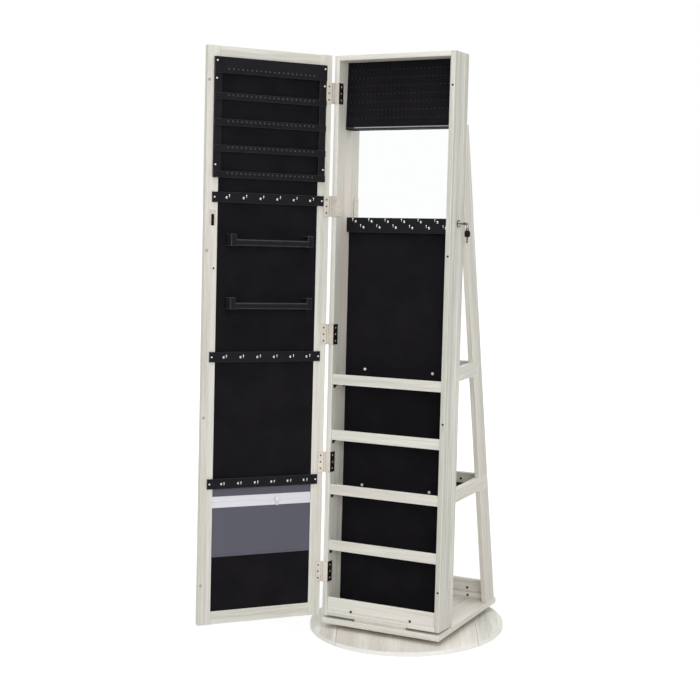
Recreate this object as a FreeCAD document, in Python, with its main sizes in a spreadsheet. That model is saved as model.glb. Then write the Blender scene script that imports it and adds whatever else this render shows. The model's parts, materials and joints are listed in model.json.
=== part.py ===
import FreeCAD, Part
import math
import os
import Sketcher

# Free-standing jewelry cabinet that swivels on a round base. Millimetres, +Z up.
# The origin is the swivel axis on the floor, and the cabinet's front looks to -Y.

SIZES = {
    # round base of three boards, its seams turned against the cabinet
    "disc_radius": 270.0,
    "disc_thickness": 12.0,
    "disc_middle_width": 384.0,
    "disc_turn": 27.0,
    # swivel bearing
    "race_radius": 120.0,
    "ring_width": 40.0,
    "ring_thickness": 5.0,
    "ring_gap": 4.0,
    "ball_radius": 3.7,
    "ball_count": 24.0,
    "running_gap": 0.3,
    "cage_thickness": 2.0,
    "cage_width": 16.0,
    # swivel plate, and the wedge that carries the leaning cabinet on it
    "plate_depth": 388.0,
    "plate_thickness": 16.0,
    "axis_setback": 166.0,
    "lean": 4.0,
    "wedge_rear": 2.0,
    "wedge_width": 156.0,
    "wedge_inset": 3.0,
    # cabinet boards
    "cabinet_width": 356.0,
    "cabinet_depth": 86.0,
    "cabinet_height": 1529.0,
    "board": 14.0,
    "bottom_board": 12.0,
    "back_board": 6.0,
    "felt_board": 4.0,
    # lips from the lowest up, their shelves and what holds them
    "lip_recess": 5.0,
    "lip_thickness": 8.0,
    "lip_height": 28.0,
    "shelf_thickness": 8.0,
    "first_lip_top": 209.5,
    "second_lip_rise": 155.0,
    "third_lip_rise": 150.5,
    "fourth_lip_rise": 153.0,
    "bottom_rail_height": 38.0,
    "support_size": 10.0,
    "support_setback": 4.0,
    "button_radius": 4.0,
    "button_height": 3.0,
    "button_spread": 206.0,
    "lower_button_lift": 14.5,
    "upper_button_lift": 33.0,
    # upper inside from the top down: slanted earring board, ledge, mirror and necklace bar
    "earring_board_height": 173.0,
    "earring_board_thickness": 4.0,
    "earring_top_depth": 50.0,
    "earring_foot_depth": 43.0,
    "ledge_thickness": 8.0,
    "mirror_height": 238.0,
    "mirror_thickness": 4.0,
    "mirror_standoff": 14.0,
    "necklace_bar_height": 39.0,
    "necklace_bar_thickness": 15.0,
    "necklace_row_low": 14.0,
    "necklace_row_high": 30.0,
    "necklace_hook_margin": 28.0,
    "necklace_hook_reach": 16.0,
    "hook_wire_radius": 1.5,
    "hook_tip_height": 7.0,
    "hook_ball_radius": 2.2,
    # door: frame with a glass and a felt panel in one groove
    "door_thickness": 18.0,
    "door_open": 125.6,
    "frame_width": 35.0,
    "felt_recess": 4.0,
    "door_felt_thickness": 3.0,
    "door_mirror_thickness": 4.0,
    "groove_depth": 6.0,
    "groove_play": 0.5,
    # rack and hook bars on the stiles
    "rack_clearance": 2.8,
    "rack_drop": 28.5,
    "rack_height": 312.0,
    "rack_upright_width": 20.0,
    "rack_upright_thickness": 6.0,
    "rack_bar_thickness": 3.0,
    "rack_bar_height": 17.0,
    "rack_band_height": 42.0,
    "rack_screw_lift": 33.0,
    "rack_screw_drop": 14.0,
    "band_screw_drop": 10.5,
    "bar_screw_inset": 6.0,
    "hook_bar_height": 27.0,
    "hook_bar_thickness": 4.0,
    "first_bar_drop": 51.0,
    "second_bar_drop": 137.0,
    "third_bar_rise": 14.5,
    "door_hook_margin": 40.0,
    "door_hook_reach": 20.0,
    # bracelet bars on the felt panel
    "bracelet_rod_radius": 9.0,
    "bracelet_margin": 26.0,
    "bracelet_reach": 32.0,
    "bracelet_bracket_width": 6.0,
    "bracelet_bracket_height": 36.0,
    "first_bracelet_drop": 117.5,
    "second_bracelet_drop": 166.0,
    # zip pocket
    "pocket_height": 184.5,
    "pocket_thickness": 1.6,
    "tape_drop": 21.5,
    "tape_height": 30.0,
    "tape_thickness": 1.2,
    "slider_place": 136.0,
    "slider_width": 9.0,
    "slider_height": 12.0,
    "slider_thickness": 3.0,
    "pull_length": 16.0,
    "pull_width": 5.0,
    "pull_thickness": 1.2,
    "pull_pin_radius": 0.8,
    # hinges
    "low_hinge_drop": 60.5,
    "middle_hinge_rise": 109.0,
    "upper_hinge_rise": 28.0,
    "top_hinge_drop": 101.0,
    "hinge_height": 56.0,
    "leaf_thickness": 1.2,
    "leaf_clearance": 0.2,
    "door_leaf_gap": 2.0,
    "wall_leaf_depth": 24.0,
    "knuckle_radius": 3.0,
    "knuckle_gap": 0.3,
    "pin_radius": 1.5,
    "pin_fit": 0.05,
    # screws
    "hinge_screw_radius": 2.6,
    "hinge_screw_shank": 1.3,
    "hinge_screw_length": 9.0,
    "hinge_screw_spacing": 18.0,
    "screw_fit": 0.05,
    "bar_screw_radius": 2.4,
    "bar_screw_head": 1.6,
    "bar_screw_shank": 1.2,
    "bar_screw_bite": 9.0,
    "frame_screw_radius": 3.6,
    "frame_screw_head": 1.8,
    "frame_screw_shank": 1.8,
    "frame_screw_bite": 6.0,
    # magnetic catches on the free stile
    "magnet_radius": 3.0,
    "magnet_length": 8.0,
    "catch_radius": 4.0,
    "catch_thickness": 2.0,
    "catch_inset": 6.0,
    "first_magnet": 107.0,
    "second_magnet": 556.0,
    "third_magnet": 997.0,
    "top_magnet_drop": 89.0,
    # cam lock, keys and strike
    "lock_clearance": 13.3,
    "lock_rise": 26.5,
    "lock_radius": 8.0,
    "lock_flange_radius": 10.0,
    "lock_flange": 2.0,
    "lock_inside": 6.0,
    "plug_radius": 5.5,
    "plug_fit": 0.08,
    "cam_thickness": 3.0,
    "cam_width": 10.0,
    "cam_bite": 3.4,
    "key_thickness": 2.2,
    "key_blade_width": 7.0,
    "key_blade_length": 8.0,
    "bow_radius": 10.0,
    "bow_hole_offset": 6.0,
    "bow_hole_radius": 2.5,
    "ring_radius": 6.0,
    "ring_wire": 0.8,
    "spare_bow_radius": 9.0,
    "spare_hole_offset": 5.0,
    "spare_thickness": 3.0,
    "spare_blade_length": 22.0,
    "spare_blade_width": 6.0,
    "strike_width": 18.0,
    "strike_height": 40.0,
    "strike_thickness": 1.2,
    "slot_width": 8.0,
    "slot_height": 30.0,
    "slot_below": 21.0,
    "mortise_depth": 7.0,
    # slanted rear legs and the two trays between them
    "leg_thickness": 15.0,
    "leg_depth": 56.0,
    "leg_drop": 183.7,
    "leg_tip": 10.5,
    "foot_setback": 12.1,
    "lap_thickness": 8.0,
    "upper_tray_top": 745.0,
    "upper_rail_height": 38.0,
    "upper_rail_setback": 27.4,
    "lower_tray_top": 417.0,
    "lower_rail_height": 37.0,
    "lower_rail_setback": 10.7,
    "cross_rail_thickness": 12.0,
    "tray_floor": 5.0,
    "tray_floor_lift": 2.0,
    "bottom_cross_height": 35.0,
    "foot_inset": 2.0,
    "cleat_height": 16.0,
    "cleat_depth": 27.0,
    "cleat_gap": 13.0,
    "tray_screw_spread": 200.0,
    "cleat_screw_spread": 216.0,
    "rail_screw_spread": 180.0,
    "rail_screw_lift": 6.0,
}

doc = FreeCAD.newDocument("JewelryCabinet")
sheet = doc.addObject("Spreadsheet::Sheet", "Sizes")
for row, (alias, number) in enumerate(SIZES.items(), start=1):
    sheet.set(f"A{row}", alias)
    sheet.set(f"B{row}", str(number))
    sheet.setAlias(f"B{row}", alias)
doc.recompute()


class Size:
    """A number together with the sheet expression that gives it."""

    def __init__(self, text, value):
        self.text = text
        self.value = value

    def __add__(self, other):
        return combine(self, "+", other, lambda a, b: a + b)

    def __radd__(self, other):
        return combine(other, "+", self, lambda a, b: a + b)

    def __sub__(self, other):
        return combine(self, "-", other, lambda a, b: a - b)

    def __rsub__(self, other):
        return combine(other, "-", self, lambda a, b: a - b)

    def __mul__(self, other):
        return combine(self, "*", other, lambda a, b: a * b)

    def __rmul__(self, other):
        return combine(other, "*", self, lambda a, b: a * b)

    def __truediv__(self, other):
        return combine(self, "/", other, lambda a, b: a / b)

    def __neg__(self):
        return 0.0 - self


def as_size(number):
    if isinstance(number, Size):
        return number
    return Size(repr(float(number)), float(number))


def combine(left, sign, right, work):
    left, right = as_size(left), as_size(right)
    return Size(f"({left.text} {sign} {right.text})", work(left.value, right.value))


def turned(angle, function):
    """Sine, cosine or tangent of an angle in degrees."""
    return Size(f"{function}({angle.text} * 1 deg)", getattr(math, function)(math.radians(angle.value)))


def vector(x, y, z):
    return FreeCAD.Vector(as_size(x).value, as_size(y).value, as_size(z).value)


class Sizes:
    """The sheet's values by name."""

    def __getattr__(self, name):
        return Size(f"Sizes.{name}", float(getattr(sheet, name)))


S = Sizes()
NODES = {}
X_AXIS = FreeCAD.Vector(1, 0, 0)
Y_AXIS = FreeCAD.Vector(0, 1, 0)
Z_AXIS = FreeCAD.Vector(0, 0, 1)
UPRIGHT = FreeCAD.Rotation(Z_AXIS, 0)
ALONG_X = FreeCAD.Rotation(Y_AXIS, 90)
ALONG_Y = FreeCAD.Rotation(X_AXIS, -90)
AGAINST_X = FreeCAD.Rotation(Y_AXIS, -90)
AGAINST_Y = FreeCAD.Rotation(X_AXIS, 90)


def keep(label, feature):
    """Name a finished sub-part."""
    feature.Label = label
    NODES[label] = feature
    return feature


def compound(label, members):
    feature = doc.addObject("Part::Compound", label)
    feature.Links = members
    return feature


def group(label, members):
    """Separate solids that share one node."""
    return keep(label, compound(label, members))


def fuse(label, members):
    feature = doc.addObject("Part::MultiFuse", label)
    feature.Shapes = members
    return feature


def cut(label, base, tools):
    feature = doc.addObject("Part::Cut", label)
    feature.Base = base
    feature.Tool = tools[0] if len(tools) == 1 else compound(label + "_tools", tools)
    return feature


class Frame:
    """A place that pieces are made in: the floor, the leaning cabinet or the open door."""

    def __init__(self, placement):
        self.placement = placement

    def put(self, feature, at, rotation):
        feature.Placement = self.placement.multiply(FreeCAD.Placement(vector(*at), rotation))
        return feature

    def block(self, label, size, at):
        feature = doc.addObject("Part::Box", label)
        for side, length in zip(("Length", "Width", "Height"), size):
            feature.setExpression(side, as_size(length).text)
        return self.put(feature, at, UPRIGHT)

    def rod(self, label, radius, length, at, rotation=UPRIGHT):
        feature = doc.addObject("Part::Cylinder", label)
        feature.setExpression("Radius", as_size(radius).text)
        feature.setExpression("Height", as_size(length).text)
        return self.put(feature, at, rotation)

    def ball(self, label, radius, at):
        feature = doc.addObject("Part::Sphere", label)
        feature.setExpression("Radius", as_size(radius).text)
        return self.put(feature, at, UPRIGHT)

    def ring(self, label, radius, wire, at, rotation=UPRIGHT):
        feature = doc.addObject("Part::Torus", label)
        feature.setExpression("Radius1", as_size(radius).text)
        feature.setExpression("Radius2", as_size(wire).text)
        return self.put(feature, at, rotation)

    def prism(self, label, plane, corners, length, at):
        """A padded outline: on XY it rises along Z, on YZ it runs along X."""
        body = doc.addObject("PartDesign::Body", label)
        sketch = body.newObject("Sketcher::SketchObject", label + "_outline")
        support = [o for o in body.Origin.OriginFeatures if getattr(o, "Role", "") == plane + "_Plane"]
        sketch.AttachmentSupport = [(support[0], "")]
        sketch.MapMode = "FlatFace"
        points = [vector(u, v, 0) for u, v in corners]
        for start, end in zip(points, points[1:] + points[:1]):
            sketch.addGeometry(Part.LineSegment(start, end))
        count = len(points)
        for edge in range(count):
            sketch.addConstraint(Sketcher.Constraint("Coincident", edge, 2, (edge + 1) % count, 1))
        for edge, (u, v) in enumerate(corners):
            for kind, measure in (("DistanceX", as_size(u)), ("DistanceY", as_size(v))):
                place = sketch.addConstraint(Sketcher.Constraint(kind, -1, 1, edge, 1, measure.value))
                sketch.setExpression(f"Constraints[{place}]", measure.text)
        pad = body.newObject("PartDesign::Pad", label + "_pad")
        pad.Profile = sketch
        pad.setExpression("Length", as_size(length).text)
        return self.put(body, at, UPRIGHT)

    def screw(self, label, head, head_height, shank, bite, at, rotation):
        """A screw whose head lies on a surface point, with its shank run on along the rotation's Z."""
        into = rotation.multVec(Z_AXIS)
        top_at = [place - along * head_height for place, along in zip(at, into)]
        top = self.rod(label + "_head", head, head_height, top_at, rotation)
        stem = self.rod(label + "_shank", shank, bite, at, rotation)
        return fuse(label, [top, stem])


def spread(count, spacing):
    """Places of evenly spaced copies about the middle."""
    return [(index - (count - 1) / 2) * spacing for index in range(count)]


# Heights and places that several pieces share, the cabinet's and the door's in the cabinet's own frame
lean_sine = turned(S.lean, "sin")
lean_cosine = turned(S.lean, "cos")
lean_tangent = turned(S.lean, "tan")
half_width = S.cabinet_width / 2
inner_half = half_width - S.board
inner_width = 2 * inner_half
ball_height = S.disc_thickness + S.ring_thickness + S.ring_gap / 2
plate_bottom = S.disc_thickness + 2 * S.ring_thickness + S.ring_gap
plate_top = plate_bottom + S.plate_thickness
cabinet_foot = plate_top + S.wedge_rear
felt_face = S.cabinet_depth - S.back_board - S.felt_board

LIP_TOPS = [S.first_lip_top]
for rise in (S.second_lip_rise, S.third_lip_rise, S.fourth_lip_rise):
    LIP_TOPS.append(LIP_TOPS[-1] + rise)
SHELF_FEET = [top - S.lip_height for top in LIP_TOPS]

earring_top = S.cabinet_height - S.board
ledge_top = earring_top - S.earring_board_height
ledge_bottom = ledge_top - S.ledge_thickness
necklace_bar_top = ledge_bottom - S.mirror_height
necklace_bar_bottom = necklace_bar_top - S.necklace_bar_height
necklace_bar_face = felt_face - S.necklace_bar_thickness

door_gap = 2 * S.leaf_thickness + S.leaf_clearance
door_face = -door_gap
door_outer = door_face - S.door_thickness
felt_front = door_face - S.felt_recess
opening_half = half_width - S.frame_width
pin_x = -half_width - S.knuckle_radius - S.knuckle_gap
pin_y = door_face / 2
rack_margin = S.board + S.leaf_thickness + S.rack_clearance
rack_half = half_width - rack_margin

floor = Frame(FreeCAD.Placement())
cabinet_origin = vector(0, -S.axis_setback, cabinet_foot + S.cabinet_depth * lean_sine)
cabinet = Frame(FreeCAD.Placement(cabinet_origin, FreeCAD.Rotation(X_AXIS, -S.lean.value)))
door_swing = FreeCAD.Placement(FreeCAD.Vector(), FreeCAD.Rotation(Z_AXIS, -S.door_open.value),
                               vector(pin_x, pin_y, 0))
door = Frame(cabinet.placement.multiply(door_swing))


# Round base: a middle board and two outer segments
disc_frame = Frame(FreeCAD.Placement(FreeCAD.Vector(), FreeCAD.Rotation(Z_AXIS, S.disc_turn.value)))


def disc_blank(label):
    return disc_frame.rod(label, S.disc_radius, S.disc_thickness, (0, 0, 0))


def disc_strip(label):
    size = (S.disc_middle_width, 2 * S.disc_radius, S.disc_thickness)
    return disc_frame.block(label, size, (-S.disc_middle_width / 2, -S.disc_radius, 0))


middle = doc.addObject("Part::Common", "base_middle_board")
middle.Base = disc_blank("middle_blank")
middle.Tool = disc_strip("middle_strip")
keep("base_middle_board", middle)
keep("base_segments", cut("base_segments", disc_blank("segment_blank"), [disc_strip("segment_strip")]))


# Swivel bearing: two grooved rings with caged balls between them
def annulus(label, width, thickness, bottom, cuts):
    outer = floor.rod(label + "_outer", S.race_radius + width / 2, thickness, (0, 0, bottom))
    bore = floor.rod(label + "_bore", S.race_radius - width / 2, thickness, (0, 0, bottom))
    return keep(label, cut(label, outer, [bore] + cuts))


def race(label):
    return floor.ring(label, S.race_radius, S.ball_radius + S.running_gap, (0, 0, ball_height))


def round_the_race(height):
    step = 2 * math.pi / S.ball_count.value
    return [(S.race_radius * math.cos(step * index), S.race_radius * math.sin(step * index), height)
            for index in range(int(S.ball_count.value))]


annulus("bearing_lower_ring", S.ring_width, S.ring_thickness, S.disc_thickness, [race("lower_race")])
annulus("bearing_upper_ring", S.ring_width, S.ring_thickness, plate_bottom - S.ring_thickness,
        [race("upper_race")])
group("bearing_balls", [floor.ball(f"ball_{n}", S.ball_radius, at)
                        for n, at in enumerate(round_the_race(ball_height))])
cage_bottom = ball_height - S.cage_thickness / 2
ball_windows = [floor.rod(f"ball_window_{n}", S.ball_radius + S.running_gap, S.cage_thickness, at)
                for n, at in enumerate(round_the_race(cage_bottom))]
annulus("bearing_cage", S.cage_width, S.cage_thickness, cage_bottom, ball_windows)


# Swivel plate and the wedge under the leaning cabinet
plate_size = (S.cabinet_width, S.plate_depth, S.plate_thickness)
keep("swivel_plate", floor.block("swivel_plate", plate_size, (-half_width, -S.axis_setback, plate_bottom)))


def under_cabinet(depth):
    """World Y and Z of the cabinet's underside at a depth behind its front."""
    return depth * lean_cosine - S.axis_setback, cabinet_foot + (S.cabinet_depth - depth) * lean_sine


wedge_front = under_cabinet(S.wedge_inset)
wedge_back = under_cabinet(S.cabinet_depth - S.wedge_inset)
wedge_outline = [(wedge_front[0], plate_top), (wedge_back[0], plate_top), wedge_back, wedge_front]
keep("base_wedge", floor.prism("base_wedge", "YZ", wedge_outline, S.wedge_width, (-S.wedge_width / 2, 0, 0)))


# Screws of three kinds, each with the hole that its shank needs
def hinge_screw(frame, label, at, rotation):
    return frame.screw(label, S.hinge_screw_radius, S.leaf_thickness, S.hinge_screw_shank,
                       S.hinge_screw_length, at, rotation)


def hinge_screw_hole(frame, label, at, rotation):
    return frame.rod(label, S.hinge_screw_shank + S.screw_fit, S.hinge_screw_length, at, rotation)


def bar_screw(label, at, held):
    return door.screw(label, S.bar_screw_radius, S.bar_screw_head, S.bar_screw_shank,
                      held + S.bar_screw_bite, at, AGAINST_Y)


def bar_screw_hole(label, at, held):
    return door.rod(label, S.bar_screw_shank + S.screw_fit, held + S.bar_screw_bite, at, AGAINST_Y)


def frame_screw(frame, label, at):
    return frame.screw(label, S.frame_screw_radius, S.frame_screw_head, S.frame_screw_shank,
                       S.frame_screw_bite, at, ALONG_Y)


def frame_screw_holes(frame, label, points):
    return [frame.rod(f"{label}_{n}", S.frame_screw_shank + S.screw_fit, S.frame_screw_bite, at, ALONG_Y)
            for n, at in enumerate(points)]


# Hinges: a leaf on the door's inner face, a leaf wrapped over the left panel's front edge, the pin outside
HINGES = [SHELF_FEET[0] - S.low_hinge_drop,
          (LIP_TOPS[1] + SHELF_FEET[2]) / 2,
          LIP_TOPS[3] + S.middle_hinge_rise,
          necklace_bar_top + S.upper_hinge_rise,
          S.cabinet_height - S.top_hinge_drop]
knuckle_height = (S.hinge_height - 2 * S.knuckle_gap) / 3
knuckle_pitch = knuckle_height + S.knuckle_gap
door_leaf_width = rack_margin - S.door_leaf_gap


def knuckle(frame, label, height, leaf_face):
    """A barrel and the tab that joins it to its leaf, and the bore for the pin."""
    foot = height - knuckle_height / 2
    barrel = frame.rod(label + "_barrel", S.knuckle_radius, knuckle_height, (pin_x, pin_y, foot))
    tab = frame.block(label + "_tab", (-half_width - pin_x, S.leaf_thickness, knuckle_height),
                      (pin_x, leaf_face, foot))
    bore = frame.rod(label + "_bore", S.pin_radius + S.pin_fit, knuckle_height, (pin_x, pin_y, foot))
    return [barrel, tab], bore


def leaf_holes(frame, label, points, rotation):
    """Round seats for the screw heads, which lie flush in the leaf."""
    into = rotation.multVec(Z_AXIS)
    starts = [[place - along * S.leaf_thickness for place, along in zip(at, into)] for at in points]
    return [frame.rod(f"{label}_hole_{n}", S.hinge_screw_radius + S.screw_fit, S.leaf_thickness, at, rotation)
            for n, at in enumerate(starts)]


def door_leaf_screws(height):
    across = -half_width + door_leaf_width / 2
    return [(across, door_face, height + rise) for rise in spread(3, S.hinge_screw_spacing)]


def door_leaf(label, height):
    plate = door.block(label + "_plate", (door_leaf_width, S.leaf_thickness, S.hinge_height),
                       (-half_width, door_face, height - S.hinge_height / 2))
    members, bore = knuckle(door, label, height, door_face)
    holes = leaf_holes(door, label, door_leaf_screws(height), AGAINST_Y)
    return cut(label, fuse(label + "_whole", [plate] + members), [bore] + holes)


def wall_leaf_screws(height):
    return [(-inner_half, S.wall_leaf_depth / 2, height + rise) for rise in spread(3, S.hinge_screw_spacing)]


def wrapped_leaf(label, height):
    foot = height - S.hinge_height / 2
    front = cabinet.block(label + "_front", (S.board + S.leaf_thickness, S.leaf_thickness, S.hinge_height),
                          (-half_width, -S.leaf_thickness, foot))
    wall = cabinet.block(label + "_wall", (S.leaf_thickness, S.wall_leaf_depth, S.hinge_height),
                         (-inner_half, 0, foot))
    low, low_bore = knuckle(cabinet, label + "_low", height - knuckle_pitch, -S.leaf_thickness)
    high, high_bore = knuckle(cabinet, label + "_high", height + knuckle_pitch, -S.leaf_thickness)
    holes = leaf_holes(cabinet, label, wall_leaf_screws(height), AGAINST_X)
    return cut(label, fuse(label + "_whole", [front, wall] + low + high), [low_bore, high_bore] + holes)


def hinge_pin(label, height):
    return cabinet.rod(label, S.pin_radius, S.hinge_height, (pin_x, pin_y, height - S.hinge_height / 2))


def on_hinges(name):
    return [(f"{name}_{number}", height) for number, height in enumerate(HINGES, start=1)]


def at_hinge_screws(name, places):
    return [(f"{label}_{n}", at) for label, height in on_hinges(name) for n, at in enumerate(places(height))]


group("hinge_door_leaves", [door_leaf(label, height) for label, height in on_hinges("door_leaf")])
group("hinge_cabinet_leaves", [wrapped_leaf(label, height) for label, height in on_hinges("wrapped_leaf")])
group("hinge_pins", [hinge_pin(label, height) for label, height in on_hinges("hinge_pin")])
group("hinge_door_screws", [hinge_screw(door, label, at, AGAINST_Y)
                            for label, at in at_hinge_screws("door_leaf_screw", door_leaf_screws)])
group("hinge_cabinet_screws", [hinge_screw(cabinet, label, at, AGAINST_X)
                               for label, at in at_hinge_screws("wall_leaf_screw", wall_leaf_screws)])


# Cabinet boards, with the magnets and the lock's hole in the right one
MAGNETS = [S.first_magnet, S.second_magnet, S.third_magnet, S.cabinet_height - S.top_magnet_drop]
magnet_x = half_width - S.catch_inset
side_size = (S.board, S.cabinet_depth, S.cabinet_height)
inner_height = S.cabinet_height - S.bottom_board - S.board
lock_y = necklace_bar_face - S.lock_clearance
lock_z = necklace_bar_bottom + S.lock_rise
lock_at = (inner_half - S.lock_inside, lock_y, lock_z)
lock_length = S.board + S.lock_inside

wall_holes = [hinge_screw_hole(cabinet, label, at, AGAINST_X)
              for label, at in at_hinge_screws("wall_hole", wall_leaf_screws)]
left_blank = cabinet.block("left_blank", side_size, (-half_width, 0, 0))
keep("left_side_panel", cut("left_side_panel", left_blank, wall_holes))


def magnets(label, radius):
    return [cabinet.rod(f"{label}_{n}", radius, S.magnet_length, (magnet_x, 0, height), ALONG_Y)
            for n, height in enumerate(MAGNETS)]


right_blank = cabinet.block("right_blank", side_size, (inner_half, 0, 0))
lock_hole = cabinet.rod("lock_hole", S.lock_radius, lock_length, lock_at, ALONG_X)
magnet_holes = magnets("magnet_hole", S.magnet_radius + S.screw_fit)
keep("right_side_panel", cut("right_side_panel", right_blank, [lock_hole] + magnet_holes))
group("cabinet_magnets", magnets("magnet", S.magnet_radius))


def between_sides(label, front, depth, bottom, height):
    """A board across the inside, from wall to wall."""
    return cabinet.block(label, (inner_width, depth, height), (-inner_half, front, bottom))


keep("top_panel", between_sides("top_panel", 0, S.cabinet_depth, earring_top, S.board))
keep("bottom_panel", between_sides("bottom_panel", 0, S.cabinet_depth, 0, S.bottom_board))
keep("back_panel", between_sides("back_panel", S.cabinet_depth - S.back_board, S.back_board,
                                 S.bottom_board, inner_height))
keep("felt_back_panel", between_sides("felt_back_panel", felt_face, S.felt_board,
                                      S.bottom_board, inner_height))


# Shelves with raised lips, their wall supports and the bottom rail
shelf_front = S.lip_recess + S.lip_thickness


def supports(label, shelf_foot):
    size = (S.support_size, S.support_size, S.support_size)
    rear = felt_face - S.support_setback - S.support_size
    foot = shelf_foot - S.support_size
    return [cabinet.block(f"{label}_{side}_{place}", size, (across, depth, foot))
            for side, across in (("left", -inner_half), ("right", inner_half - S.support_size))
            for place, depth in (("front", S.lip_recess + S.support_setback), ("rear", rear))]


group("shelves", [between_sides(f"shelf_{n}", shelf_front, felt_face - shelf_front, foot, S.shelf_thickness)
                  for n, foot in enumerate(SHELF_FEET)])
group("shelf_lips", [between_sides(f"shelf_lip_{n}", S.lip_recess, S.lip_thickness, foot, S.lip_height)
                     for n, foot in enumerate(SHELF_FEET)])
group("shelf_supports", [one for n, foot in enumerate(SHELF_FEET) for one in supports(f"support_{n}", foot)])

rail_screw_at = [(across, S.lip_recess, S.bottom_board + S.rail_screw_lift)
                 for across in spread(2, S.rail_screw_spread)]
front_rail = between_sides("front_rail_blank", S.lip_recess, S.lip_thickness,
                           S.bottom_board, S.bottom_rail_height)
keep("bottom_front_rail", cut("bottom_front_rail", front_rail,
                              frame_screw_holes(cabinet, "front_rail_hole", rail_screw_at)))

button_heights = [SHELF_FEET[1] + S.shelf_thickness + S.lower_button_lift,
                  SHELF_FEET[3] + S.shelf_thickness + S.upper_button_lift]
group("panel_buttons", [cabinet.rod(f"button_{n}_{m}", S.button_radius, S.button_height,
                                    (across, felt_face - S.button_height, height), ALONG_Y)
                        for n, across in enumerate(spread(2, S.button_spread))
                        for m, height in enumerate(button_heights)])


# Upper inside: earring board over a ledge, vanity mirror, necklace bar with two rows of hooks
earring_outline = [(S.earring_foot_depth, ledge_top),
                   (S.earring_foot_depth + S.earring_board_thickness, ledge_top),
                   (S.earring_top_depth + S.earring_board_thickness, earring_top),
                   (S.earring_top_depth, earring_top)]
keep("earring_board", cabinet.prism("earring_board", "YZ", earring_outline, inner_width, (-inner_half, 0, 0)))
keep("earring_ledge", between_sides("earring_ledge", S.earring_foot_depth, felt_face - S.earring_foot_depth,
                                    ledge_bottom, S.ledge_thickness))
keep("vanity_mirror", between_sides("vanity_mirror", felt_face - S.mirror_standoff, S.mirror_thickness,
                                    necklace_bar_top, S.mirror_height))
keep("necklace_bar", between_sides("necklace_bar", necklace_bar_face, S.necklace_bar_thickness,
                                   necklace_bar_bottom, S.necklace_bar_height))


def hook(frame, label, x, face, z, reach, side):
    """A wire hook: a peg out of the face to one side in Y, turned up into a ball tip."""
    end = face + side * reach
    outward = ALONG_Y if side > 0 else AGAINST_Y
    peg = frame.rod(label + "_peg", S.hook_wire_radius, reach, (x, face, z), outward)
    bend = frame.ball(label + "_bend", S.hook_wire_radius, (x, end, z))
    tip = frame.rod(label + "_tip", S.hook_wire_radius, S.hook_tip_height, (x, end, z))
    knob = frame.ball(label + "_knob", S.hook_ball_radius, (x, end, z + S.hook_tip_height))
    return fuse(label, [peg, bend, tip, knob])


# The two rows of six share the width, the low row half a step behind the high one
necklace_hook_step = (inner_width - 2 * S.necklace_hook_margin) / 5.5
row_shift = necklace_hook_step / 4
NECKLACE_ROWS = [("high", S.necklace_row_high, -row_shift), ("low", S.necklace_row_low, row_shift)]
group("necklace_hooks", [hook(cabinet, f"necklace_hook_{row}_{n}", across + shift, necklace_bar_face,
                              necklace_bar_bottom + lift, S.necklace_hook_reach, -1)
                         for row, lift, shift in NECKLACE_ROWS
                         for n, across in enumerate(spread(6, necklace_hook_step))])


# Places of what the door carries, each from its neighbour
rack_top = S.cabinet_height - S.rack_drop
rack_bottom = rack_top - S.rack_height
rack_band_bottom = rack_top - S.rack_band_height
first_bar = rack_bottom - S.first_bar_drop
first_bracelet = first_bar - S.first_bracelet_drop
second_bracelet = first_bracelet - S.second_bracelet_drop
HOOK_BARS = [first_bar, second_bracelet - S.second_bar_drop, LIP_TOPS[1] + S.third_bar_rise]
hook_bar_face = door_face + S.hook_bar_thickness
rack_face = door_face + S.rack_upright_thickness
band_face = rack_face + S.rack_bar_thickness
bar_screw_x = rack_half - S.bar_screw_inset


def upright_screws(side):
    """Point on the surface and thickness held, for the screws through one rack upright."""
    across = side * bar_screw_x
    heights = (rack_bottom + S.rack_screw_lift, rack_band_bottom - S.rack_screw_drop)
    return [((across, rack_face, height), S.rack_upright_thickness) for height in heights]


def band_screw(side):
    held = S.rack_upright_thickness + S.rack_bar_thickness
    return (side * bar_screw_x, band_face, rack_top - S.band_screw_drop), held


def hook_bar_screw(side, height):
    return (side * bar_screw_x, hook_bar_face, height), S.hook_bar_thickness


def stile_screws(side):
    return upright_screws(side) + [band_screw(side)] + [hook_bar_screw(side, height) for height in HOOK_BARS]


def screw_holes(label, screws):
    return [bar_screw_hole(f"{label}_{n}", at, held) for n, (at, held) in enumerate(screws)]


# Door frame: grooved stiles and rails round a glass and a felt panel
groove_back = felt_front - S.door_felt_thickness - S.door_mirror_thickness
groove_half = opening_half + S.groove_depth
panel_half = groove_half - S.groove_play
panel_foot = S.frame_width - S.groove_depth + S.groove_play
strike_x = lock_at[0] - S.cam_thickness / 2


def grooved(plain, inner, groove):
    """Outline of a frame member from its plain edge to its grooved edge: (across, depth) corners."""
    return [(plain, door_outer), (inner, door_outer), (inner, groove_back), (groove, groove_back),
            (groove, felt_front), (inner, felt_front), (inner, door_face), (plain, door_face)]


hinge_stile = door.prism("hinge_stile_blank", "XY", grooved(-half_width, -opening_half, -groove_half),
                         S.cabinet_height, (0, 0, 0))
hinge_holes = [hinge_screw_hole(door, label, at, AGAINST_Y)
               for label, at in at_hinge_screws("stile_hole", door_leaf_screws)]
keep("door_hinge_stile", cut("door_hinge_stile", hinge_stile,
                             hinge_holes + screw_holes("hinge_stile_bar_hole", stile_screws(-1))))


def in_free_stile(label, width, depth, foot, height):
    """A block let into the free stile's inner face, in line with the lock's cam."""
    return door.block(label, (width, depth, height), (strike_x - width / 2, door_face - depth, foot))


def strike_seat(label):
    foot = lock_z - S.strike_height / 2
    return in_free_stile(label, S.strike_width, S.strike_thickness, foot, S.strike_height)


def strike_slot(label, depth):
    return in_free_stile(label, S.slot_width, depth, lock_z - S.slot_below, S.slot_height)


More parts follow.
